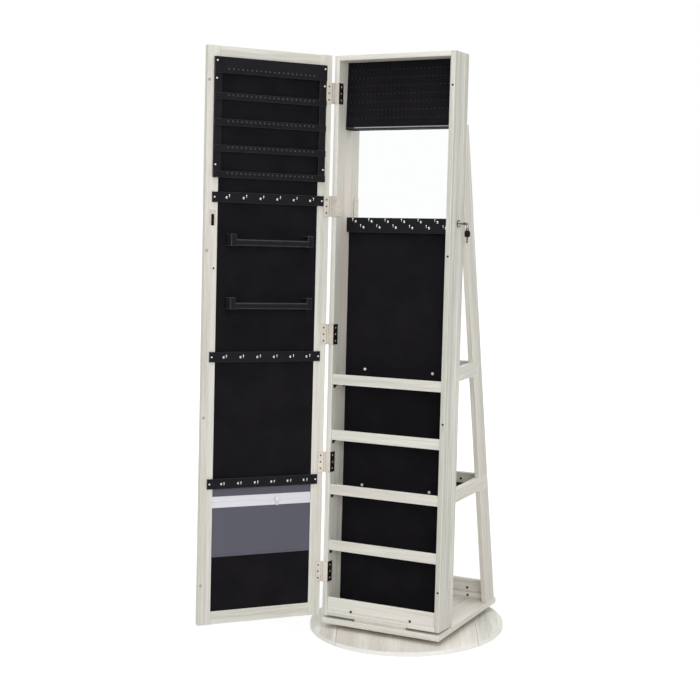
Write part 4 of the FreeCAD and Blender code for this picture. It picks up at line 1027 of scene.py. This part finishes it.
class CABINET_OT_zip_pocket(Operator):
    """Flat woven pocket with a hem, sewn zip tape, teeth, slider and pull"""

    bl_idname = "cabinet.zip_pocket"
    bl_label = "Zip pocket"
    HALF, FOOT, TOP, BACK = 142.5, 181.0, 365.5, -6.6
    COLUMNS, ROWS, CLOTH = 72, 46, 0.4
    LIE, SWELL, RIPPLE = 0.45, 0.55, 0.16
    HEM_TALL, HEM_DEEP, HEM_EDGE = 6.0, 1.5, 0.6
    SIDE_WIDE, SIDE_DEEP, SIDE_EDGE = 3.0, 1.1, 0.45
    STITCH, HEM_SEAM, TAPE_SEAM = (0.36, 0.28, 0.3), 4.5, 3.0
    TAPE_FOOT, TAPE_MIDDLE, TAPE_TOP = 314.0, 329.0, 344.0
    TAPE_BACK, TAPE_FACE, TAPE_SLIT, TAPE_EDGE = -6.3, -4.5, 0.05, 0.35
    TEETH_FACE, TOOTH, TOOTH_LIFT = -3.95, (0.34, 2.0), 0.9
    SLIDER, SLIDER_PLATE = (-42.0, -3.8, 329.0), 1.0
    SLIDER_EDGES, SLIDER_BLOCK_EDGE = {0: 0.25, 2.0: 0.35}, 0.2
    SLIDER_OUTLINE = [(-4.5, -3.2), (-2.0, -6.0), (3.5, -6.0), (4.5, -5.0), (4.5, 5.0), (3.5, 6.0),
                      (-2.0, 6.0), (-4.5, 3.2)]
    SLIDER_BLOCKS = [((-4.4, 0.8, -1.6), (-1.0, 2.2, 1.6)), ((-2.1, 2.8, -5.2), (-1.1, 4.2, -0.8)),
                     ((1.1, 2.8, -5.2), (2.1, 4.2, -0.8))]
    SLIDER_PIN, PIN_SPOT = [(0, 0), (0.8, 0), (0.8, 1.4), (0.5, 1.6), (0, 1.6)], (0, 2.9, -3)
    PULL_RINGS = [(0, 0.5), (0, 1.3), (1.0, 1.5), (1.6, 1.3), (1.6, 0.5), (1.0, 0.3)]
    PULL_DROP, PULL_LONG, PULL_WIDE, PULL_FLARE = -0.5, 11.6, 1.0, 1.4

    def depth(self, x, z):
        """How far the stretched cloth's front stands off the felt."""
        u, v = (x + self.HALF) / (2 * self.HALF), (z - self.FOOT) / (self.TOP - self.FOOT)
        swell = (math.sin(math.pi * u) * math.sin(math.pi * v)) ** 0.5
        ripple = math.sin(9 * u + 5 * v) * math.sin(3 * u - 11 * v + 1)
        return self.BACK + self.LIE + self.SWELL * swell + self.RIPPLE * swell * ripple

    def cloth(self):
        bm = bmesh.new()
        rows = [[bm.verts.new(Vector((x, self.depth(x, z), z)) * MM)
                 for x in steps(-self.HALF, self.HALF, self.COLUMNS)]
                for z in steps(self.FOOT + 1, self.TOP, self.ROWS)]
        for low, high in zip(rows, rows[1:]):
            for step in range(self.COLUMNS - 1):
                bm.faces.new([low[step], high[step], high[step + 1], low[step + 1]])
        bm.normal_update()
        bmesh.ops.solidify(bm, geom=bm.faces[:], thickness=self.CLOTH * MM)
        bmesh.ops.recalc_face_normals(bm, faces=bm.faces)
        bm.transform(DOOR)
        return put("pocket_cloth", bm, "door", "grey_cloth", "Pocket cloth", stands_for=["zip_pocket"], place=DOOR)

    def hem(self):
        bm = bmesh.new()
        over = self.FOOT + self.HEM_TALL
        block(bm, DOOR, (-self.HALF, self.BACK, self.FOOT), (self.HALF, self.BACK + self.HEM_DEEP, over),
              self.HEM_EDGE)
        for left in (-self.HALF, self.HALF - self.SIDE_WIDE):
            block(bm, DOOR, (left, self.BACK, over),
                  (left + self.SIDE_WIDE, self.BACK + self.SIDE_DEEP, self.TOP), self.SIDE_EDGE)
        return put("pocket_hem", bm, "door", "grey_cloth", "Pocket cloth", place=DOOR)

    def stitches(self, name, slot, finish, face, *heights):
        """Rows of stitches along the pocket at some heights, on a face."""
        pitch = sizes().stitch_pitch / MM
        share, deep, tall = self.STITCH
        room = self.HALF - self.SIDE_WIDE
        bm = bmesh.new()
        for z in heights:
            for stitch in range(int(2 * room / pitch)):
                spot = at((stitch + 0.5) * pitch - room, face, z)
                bead(bm, DOOR @ spot, (share * pitch, deep, tall), 6, 4)
        return put(name, bm, "door", slot, finish, place=DOOR)

    def tape(self):
        bm = bmesh.new()
        for low, high in ((self.TAPE_FOOT, self.TAPE_MIDDLE - self.TAPE_SLIT),
                          (self.TAPE_MIDDLE + self.TAPE_SLIT, self.TAPE_TOP)):
            block(bm, DOOR, (-self.HALF, self.TAPE_BACK, low), (self.HALF, self.TAPE_FACE, high), self.TAPE_EDGE)
        return put("zip_tape_halves", bm, "door", "white_tape", "Zip ribbon", stands_for=["zip_tape"], place=DOOR)

    def teeth(self):
        bm = bmesh.new()
        pitch = sizes().tooth_pitch / MM
        share, tall = self.TOOTH
        for tooth in range(int(2 * self.HALF / pitch)):
            lift = self.TOOTH_LIFT if tooth % 2 else -self.TOOTH_LIFT
            spot = at((tooth + 0.5) * pitch - self.HALF, self.TAPE_FACE, self.TAPE_MIDDLE + lift)
            bead(bm, DOOR @ spot, (share * pitch, self.TEETH_FACE - self.TAPE_FACE, tall), 8, 6)
        return put("zip_teeth", bm, "door", "white_tape", "Zip ribbon", place=DOOR)

    def slider(self):
        bm = bmesh.new()
        place = DOOR @ at(*self.SLIDER)
        for y, edge in self.SLIDER_EDGES.items():
            prism(bm, place @ at(0, y, 0), self.SLIDER_OUTLINE, self.SLIDER_PLATE, edge)
        for low, high in self.SLIDER_BLOCKS:
            block(bm, place, low, high, self.SLIDER_BLOCK_EDGE)
        turn(bm, place @ at(*self.PIN_SPOT) @ TOWARD_BACK, self.SLIDER_PIN, 16)
        put("zip_slider_finished", bm, "zip_slider", "chrome", "Bright chrome", stands_for=["zip_slider"])

    def drop(self, grow, y):
        """A drop-shaped ring that hangs from its narrow end, grown outward."""
        ring = []
        for a in angles(40):
            down = (1 - math.cos(a)) / 2
            wide = (self.PULL_WIDE + self.PULL_FLARE * down ** 1.2) * math.sin(a)
            out = Vector((math.sin(a), 0, math.cos(a)))
            ring.append((Vector((wide, y, self.PULL_DROP - self.PULL_LONG * down)) + out * grow) * MM)
        return ring

    def pull(self):
        """A drop-shaped pull with a window, hung by its eye."""
        bm = bmesh.new()
        skinned(bm, PULL, [self.drop(*ring) for ring in self.PULL_RINGS], closed=True)
        put("zip_pull_finished", bm, "zip_pull", "chrome", "Bright chrome", stands_for=["zip_pull"])

    def execute(self, context):
        cloth = self.cloth()
        sewn = [self.hem(),
                self.stitches("hem_stitches", "grey_cloth", "Pocket cloth", self.BACK + self.HEM_DEEP,
                              self.FOOT + self.HEM_SEAM),
                self.stitches("tape_stitches", "white_tape", "Zip ribbon", self.TAPE_FACE,
                              self.TAPE_FOOT + self.TAPE_SEAM, self.TAPE_TOP - self.TAPE_SEAM),
                self.tape(), self.teeth()]
        self.slider()
        self.pull()
        return {"FINISHED"}


class CABINET_OT_shelf_supports(Operator):
    """Black corner brackets under the shelves"""

    bl_idname = "cabinet.shelf_supports"
    bl_label = "Shelf supports"
    SHEET, LAP, EDGE, RIB_EDGE = 2.0, 1.8, 0.4, 0.3
    SCREW, SCREW_SPOT = (1.5, 0.8, 0.5, 20), (2, 3.2, -6)

    def execute(self, context):
        bm = bmesh.new()
        for low, high in spots_of("shelf_supports", CABINET):
            size = high.x - low.x
            half, lap = size / 2, self.LAP
            wall, inward = (low.x, FLOOR) if low.x < 0 else (high.x, ABOUT_FACE)
            place = CABINET @ at(wall, (low.y + high.y) / 2, high.z) @ inward
            block(bm, place, (0, -half, -self.SHEET), (size, half, 0), self.EDGE)
            block(bm, place, (0, -half, -size), (self.SHEET, half, -lap), self.EDGE)
            rib = [(lap, -lap), (size - 1, -lap), (lap, 1 - size)]
            prism(bm, place @ at(0, -self.SHEET / 2, 0), rib, self.SHEET, self.RIB_EDGE)
            screw_head(bm, place @ at(*self.SCREW_SPOT) @ TOWARD_RIGHT, *self.SCREW)
        put("shelf_supports_finished", bm, "cabinet", "black_plastic", "Black plastic",
            stands_for=["shelf_supports"])
        return {"FINISHED"}


class CABINET_OT_hinges(Operator):
    """Wrapped hinges with their pins and flush screws"""

    bl_idname = "cabinet.hinges"
    bl_label = "Hinges"
    LEAF, HEAD = 1.2, (2.6, 1.2, 0.15)

    def execute(self, context):
        for node, body in (("hinge_cabinet_leaves", "cabinet"), ("hinge_door_leaves", "door")):
            softened(node, body, "chrome", "Satin nickel", sizes().leaf_edge)
        coat("Satin nickel", "hinge_pins")
        for node, body, finish, place, toward, axis in (
                ("hinge_door_screws", "door", "Aged nickel", DOOR, TOWARD_BACK, 1),
                ("hinge_cabinet_screws", "cabinet", "Zinc screws", CABINET, TOWARD_RIGHT, 0)):
            places = ends_of(node, place, toward, axis, inset=-self.LEAF)
            studs(node, body, "chrome", finish, places, head=self.HEAD)
        return {"FINISHED"}


class CABINET_OT_screws(Operator):
    """White screws of the rack and bars, black screws of the wooden frame, white buttons on the felt"""

    bl_idname = "cabinet.screws"
    bl_label = "Screws and buttons"
    BAR_HEAD, FRAME_HEAD = (2.4, 1.6), (3.6, 1.8)
    BUTTON = [(0, 0), (4.0, 0), (4.0, 0.8), (3.68, 1.4), (2.88, 2.2), (1.68, 2.75), (0, 3.0)]
    FRONT = -100 * MM

    def execute(self, context):
        places = ends_of("bar_screws", DOOR, TOWARD_BACK, inset=-self.BAR_HEAD[1])
        studs("bar_screws", "door", "white_screws", "White caps", places, head=self.BAR_HEAD)
        leaning, level = (ends_of("frame_screws", place, TOWARD_FRONT, end=min, inset=self.FRAME_HEAD[1])
                          for place in (CABINET, FLOOR))
        places = [front if rear.translation.y < self.FRONT else rear for front, rear in zip(leaning, level)]
        studs("frame_screws", "cabinet", "black_steel", "Blackened steel", places, head=self.FRAME_HEAD)
        places = ends_of("panel_buttons", CABINET, TOWARD_FRONT)
        studs("panel_buttons", "cabinet", "white_plastic", "White caps", places, profile=self.BUTTON)
        return {"FINISHED"}


class CABINET_OT_catches(Operator):
    """Magnets in the right panel's front edge, catch plates and the strike on the free stile"""

    bl_idname = "cabinet.catches"
    bl_label = "Magnetic catches and strike"
    MAGNET = [(0, 0.35), (1.9, 0.35), (2.1, 0.0), (2.8, 0.0), (3.0, 0.25), (3.0, 8), (0, 8)]
    PLATE = [(0, 0.9), (1.2, 0.5), (1.6, 0.0), (3.7, 0.0), (4.0, 0.3), (4.0, 2), (0, 2)]
    SLOT_HALF, SLOT_SPAN, MORTISE = 3.95, (-20.95, 8.95), 6.95
    CUP_WALL, CUP_DROP, CUP_EDGE = 0.35, 1.3, 0.1

    def strike_cup(self):
        """A thin dark cup that lines the mortise behind the strike's slot."""
        (low, high), = spots_of("strike_plate", DOOR)
        place = DOOR @ at((low.x + high.x) / 2, high.y, (low.z + high.z) / 2)
        half, wall, (foot, top) = self.SLOT_HALF, self.CUP_WALL, self.SLOT_SPAN
        floor, brim = self.CUP_WALL - self.MORTISE, -self.CUP_DROP
        bm = bmesh.new()
        for lowest, highest in (((-half, -self.MORTISE, foot), (half, floor, top)),
                                ((-half, floor, foot), (wall - half, brim, top)),
                                ((half - wall, floor, foot), (half, brim, top)),
                                ((wall - half, floor, foot), (half - wall, brim, foot + wall)),
                                ((wall - half, floor, top - wall), (half - wall, brim, top))):
            block(bm, place, lowest, highest, self.CUP_EDGE)
        put("strike_cup", bm, "door", "black_plastic", "Black plastic")

    def execute(self, context):
        places = ends_of("cabinet_magnets", CABINET, TOWARD_BACK, end=min)
        studs("cabinet_magnets", "cabinet", "steel", "Blackened steel", places, profile=self.MAGNET)
        places = ends_of("door_catch_plates", DOOR, TOWARD_FRONT)
        studs("door_catch_plates", "door", "steel", "Bearing steel", places, profile=self.PLATE)
        softened("strike_plate", "door", "chrome", "Satin nickel", sizes().leaf_edge)
        self.strike_cup()
        return {"FINISHED"}


class CABINET_OT_lock(Operator):
    """Cam lock with its key, the split ring and the spare key"""

    bl_idname = "cabinet.lock"
    bl_label = "Lock and keys"
    RING, RING_RISE, RING_STEPS, WIRE = 6.0, 0.8, 97, 0.42
    BOW, BOW_EYE, BOW_HOLE, BOW_EDGES = (10.0, 3.6), 6.0, 1.9, (0.2, 0.4)
    SHANK, SHANK_LAP, SHANK_EDGE = 1.7, 1.5, 0.3
    HEAD, HEAD_HALF, HEAD_EDGES, EYE, EYE_LIFT, NECK = 9.0, 1.5, (0.3, 0.7), 2.2, 5.0, 4.0
    GRIP, GRIP_DROP, GRIP_MOST = (8.0, 8.5), 11.5, 25.0
    TEETH = [(2.6, -13), (2.6, -17), (1.6, -18), (1.6, -19.2), (2.6, -20.4), (2.6, -21.6), (1.2, -23),
             (1.2, -24.2), (2.2, -25.4), (2.2, -26.4), (1.0, -27.6), (1.0, -28.6), (0.2, -31), (-1.6, -31),
             (-2.6, -29.6), (-2.6, -13)]
    RIDGE = [(-1.5, -15.5), (-0.6, -15.5), (-0.6, -28), (-1.5, -28)]
    BLADE = ((TEETH, 2.2, 0.25), (RIDGE, 2.5, 0.1))

    def split_ring(self):
        """Two turns of flat-lying wire."""
        low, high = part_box("key_ring")
        path = [Vector((rise, self.RING * math.cos(a), self.RING * math.sin(a))) * MM
                for rise, a in zip(steps(-self.RING_RISE / 2, self.RING_RISE / 2, self.RING_STEPS),
                                   steps(0, 4 * math.pi, self.RING_STEPS))]
        bm = bmesh.new()
        tube(bm, Matrix.Translation((low + high) / 2), path, self.WIRE * MM, 10)
        put("key_ring_split", bm, "key_ring", "chrome", "Aged nickel", stands_for=["key_ring"])

    def key(self):
        """A flat key with an oval bow and an eye for the ring."""
        (low, high), = spots_of("key", CABINET)
        wide, tall = self.BOW
        half = (high.y - low.y) / 2
        place = CABINET @ at(high.x - wide, (low.y + high.y) / 2, (low.z + high.z) / 2)

        def oval(middle, across, up, y):
            return [Vector((middle + across * math.cos(a), y, up * math.sin(a))) * MM for a in angles(40)]

        bm = bmesh.new()
        eased_plate(bm, place, half, lambda ease, y: oval(self.BOW_EYE, *[self.BOW_HOLE + ease] * 2, y),
                    lambda ease, y: oval(0, wide - ease, tall - ease, y), *self.BOW_EDGES)
        block(bm, place, (low.x - high.x + wide, -half, -self.SHANK), (self.SHANK_LAP - wide, half, self.SHANK),
              self.SHANK_EDGE)
        put("key_finished", bm, "lock", "chrome", "Aged nickel", stands_for=["key"])

    def reach(self, angle):
        """How far the spare key's head goes from its eye: to the edge of its grip, or of the neck."""
        for tenth in range(int(self.GRIP_MOST * 10), int(self.NECK * 10), -1):
            across, up = tenth / 10 * math.cos(angle), tenth / 10 * math.sin(angle) + self.GRIP_DROP
            if (across / self.GRIP[0]) ** 4 + (up / self.GRIP[1]) ** 4 <= 1:
                return tenth / 10
        return self.NECK

    def spare_key(self):
        """A moulded black head with an eye, and a toothed blade below it."""
        low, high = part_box("spare_key")
        place = Matrix.Translation(((low.x + high.x) / 2, (low.y + high.y) / 2, high.z - self.HEAD * MM))
        grip = [(a, self.reach(a)) for a in angles(72)]

        def around(reaches, y):
            return [Vector((reach * math.cos(a), y, self.EYE_LIFT + reach * math.sin(a))) * MM
                    for a, reach in reaches]

        bm = bmesh.new()
        eased_plate(bm, place, self.HEAD_HALF, lambda ease, y: around([(a, self.EYE + ease) for a, _ in grip], y),
                    lambda ease, y: around([(a, reach - ease) for a, reach in grip], y), *self.HEAD_EDGES)
        put("spare_key_head", bm, "spare_key", "black_plastic", "Black plastic", stands_for=["spare_key"])
        bm = bmesh.new()
        for outline, thick, edge in self.BLADE:
            prism(bm, place @ at(0, -thick / 2, 0), outline, thick, edge)
        put("spare_key_blade", bm, "spare_key", "chrome", "Aged nickel")

    def execute(self, context):
        softened("lock_housing", "cabinet", "chrome", "Aged nickel", sizes().leaf_edge)
        softened("lock_plug lock_cam", "lock", "chrome", "Satin nickel", sizes().leaf_edge)
        self.key()
        self.split_ring()
        self.spare_key()
        return {"FINISHED"}


class CABINET_OT_stage(Operator):
    """Pale floor, white surroundings, soft lamps and the camera"""

    bl_idname = "cabinet.stage"
    bl_label = "Stage"
    CAMERA, SENSOR = (1.7369, -3.4904, 1.2913), 36
    TURNS = ((28.686, "Z"), (82.512, "X"), (-0.489, "Z"))
    FLOOR_HALF, FLOOR_DROP = 30.0, 0.2
    LIT_FLOOR, SEEN_FLOOR, WHITE = (0.8, 0.8, 0.79, 1), (0.36, 0.36, 0.36, 1), (1, 1, 1, 1)
    GLOW = (0.6, 3.0, 0.72, 0.97)
    MIDDLE = Vector((0, 0, 0.75))
    LAMPS = {"left": ((-2.4, -3.3, 4.3), 2.2), "right": ((2.6, -3.4, 2.2), 2.6),
             "back": ((-0.4, 3.8, 3.2), 2.6), "top": ((0.6, -1.2, 5.4), 2.6)}

    def seen(self, tree):
        """One for rays from the camera or off glossy and clear surfaces."""
        path = tree.add("ShaderNodeLightPath").outputs
        glossy = tree.calc("MAXIMUM", path["Is Glossy Ray"], path["Is Transmission Ray"])
        return tree.calc("MAXIMUM", path["Is Camera Ray"], glossy)

    def world(self, scene):
        scene.world = bpy.data.worlds.new("White surroundings")
        tree = fresh_tree(scene.world)
        strength = tree.between(self.seen(tree), 0, 1, scene.cabinet_stage.ambient, 1)
        light = tree.add("ShaderNodeBackground", {"Color": self.WHITE, "Strength": strength})
        tree.add("ShaderNodeOutputWorld", {"Surface": light.outputs[0]})

    def floor(self, scene):
        """A floor that is seen nearly white, apart from the shadow, and lights the part as a pale one."""
        bm = bmesh.new()
        bmesh.ops.create_grid(bm, x_segments=4, y_segments=4, size=self.FLOOR_HALF)
        mesh = bpy.data.meshes.new("floor")
        bm.to_mesh(mesh)
        bm.free()
        floor = bpy.data.objects.new("floor", mesh)
        floor.location.z = -self.FLOOR_DROP * MM
        scene.collection.objects.link(floor)
        material = bpy.data.materials.new("Pale floor")
        tree = fresh_tree(material)
        lit, shaded = (tree.add("ShaderNodeBsdfDiffuse", {"Color": rgb}).outputs[0]
                       for rgb in (self.LIT_FLOOR, self.SEEN_FLOOR))
        away = tree.add("ShaderNodeVectorMath", {0: tree.place()}, operation="LENGTH").outputs["Value"]
        strength = tree.between(away, *self.GLOW)
        glow = tree.add("ShaderNodeEmission", {"Color": self.WHITE, "Strength": strength}).outputs[0]
        white = tree.add("ShaderNodeAddShader", {0: shaded, 1: glow}).outputs[0]
        surface = tree.add("ShaderNodeMixShader", {0: self.seen(tree), 1: lit, 2: white}).outputs[0]
        tree.add("ShaderNodeOutputMaterial", {"Surface": surface})
        mesh.materials.append(material)

    def lamps(self, scene):
        for side, (place, size) in self.LAMPS.items():
            light = bpy.data.lights.new(side + "_lamp", "AREA")
            light.shape, light.size = "DISK", size
            light.energy = getattr(scene.cabinet_stage, side + "_power")
            lamp = bpy.data.objects.new(side + "_lamp", light)
            lamp.location = place
            lamp.rotation_euler = (self.MIDDLE - Vector(place)).to_track_quat("-Z", "Y").to_euler()
            # The right lamp would burn out in the vanity mirror and the hinges beside it
            lamp.visible_glossy = side != "right"
            scene.collection.objects.link(lamp)

    def camera(self, scene):
        data = bpy.data.cameras.new("camera")
        data.lens, data.sensor_width = scene.cabinet_stage.lens, self.SENSOR
        camera = bpy.data.objects.new("camera", data)
        matrix = Matrix.Translation(self.CAMERA)
        for degrees, axis in self.TURNS:
            matrix = matrix @ Matrix.Rotation(math.radians(degrees), 4, axis)
        camera.matrix_world = matrix
        scene.collection.objects.link(camera)
        scene.camera = camera

    def execute(self, context):
        for make in (self.world, self.floor, self.lamps, self.camera):
            make(context.scene)
        context.scene.view_settings.view_transform = "Standard"
        return {"FINISHED"}


OPERATORS = (CABINET_OT_base, CABINET_OT_bearing, CABINET_OT_boards, CABINET_OT_rear_stand, CABINET_OT_felt,
             CABINET_OT_earring_board, CABINET_OT_mirrors, CABINET_OT_door_frame, CABINET_OT_earring_rack,
             CABINET_OT_bars, CABINET_OT_hooks, CABINET_OT_zip_pocket, CABINET_OT_shelf_supports,
             CABINET_OT_hinges, CABINET_OT_screws, CABINET_OT_catches, CABINET_OT_lock, CABINET_OT_stage)
GROUPS = {"cabinet_finishes": CabinetFinishes, "cabinet_sizes": CabinetSizes, "cabinet_stage": CabinetStage}


class CABINET_PT_pieces(Panel):
    """Lists the cabinet's pieces and their settings"""

    bl_idname = "CABINET_PT_pieces"
    bl_label = "Jewelry cabinet"
    bl_space_type = "VIEW_3D"
    bl_region_type = "UI"
    bl_category = "Cabinet"

    def draw(self, context):
        for operator in OPERATORS:
            self.layout.operator(operator.bl_idname)
        for name in GROUPS:
            settings = getattr(context.scene, name)
            box = self.layout.box()
            for field in settings.__annotations__:
                box.prop(settings, field)


CLASSES = (*GROUPS.values(), *OPERATORS, CABINET_PT_pieces)


def register():
    for kind in CLASSES:
        bpy.utils.register_class(kind)
    for name, kind in GROUPS.items():
        setattr(bpy.types.Scene, name, PointerProperty(type=kind))


def unregister():
    for name in GROUPS:
        delattr(bpy.types.Scene, name)
    for kind in reversed(CLASSES):
        bpy.utils.unregister_class(kind)


def main():
    register()
    for operator in OPERATORS:
        group, name = operator.bl_idname.split(".")
        getattr(getattr(bpy.ops, group), name)()


if __name__ == "__main__":
    main()
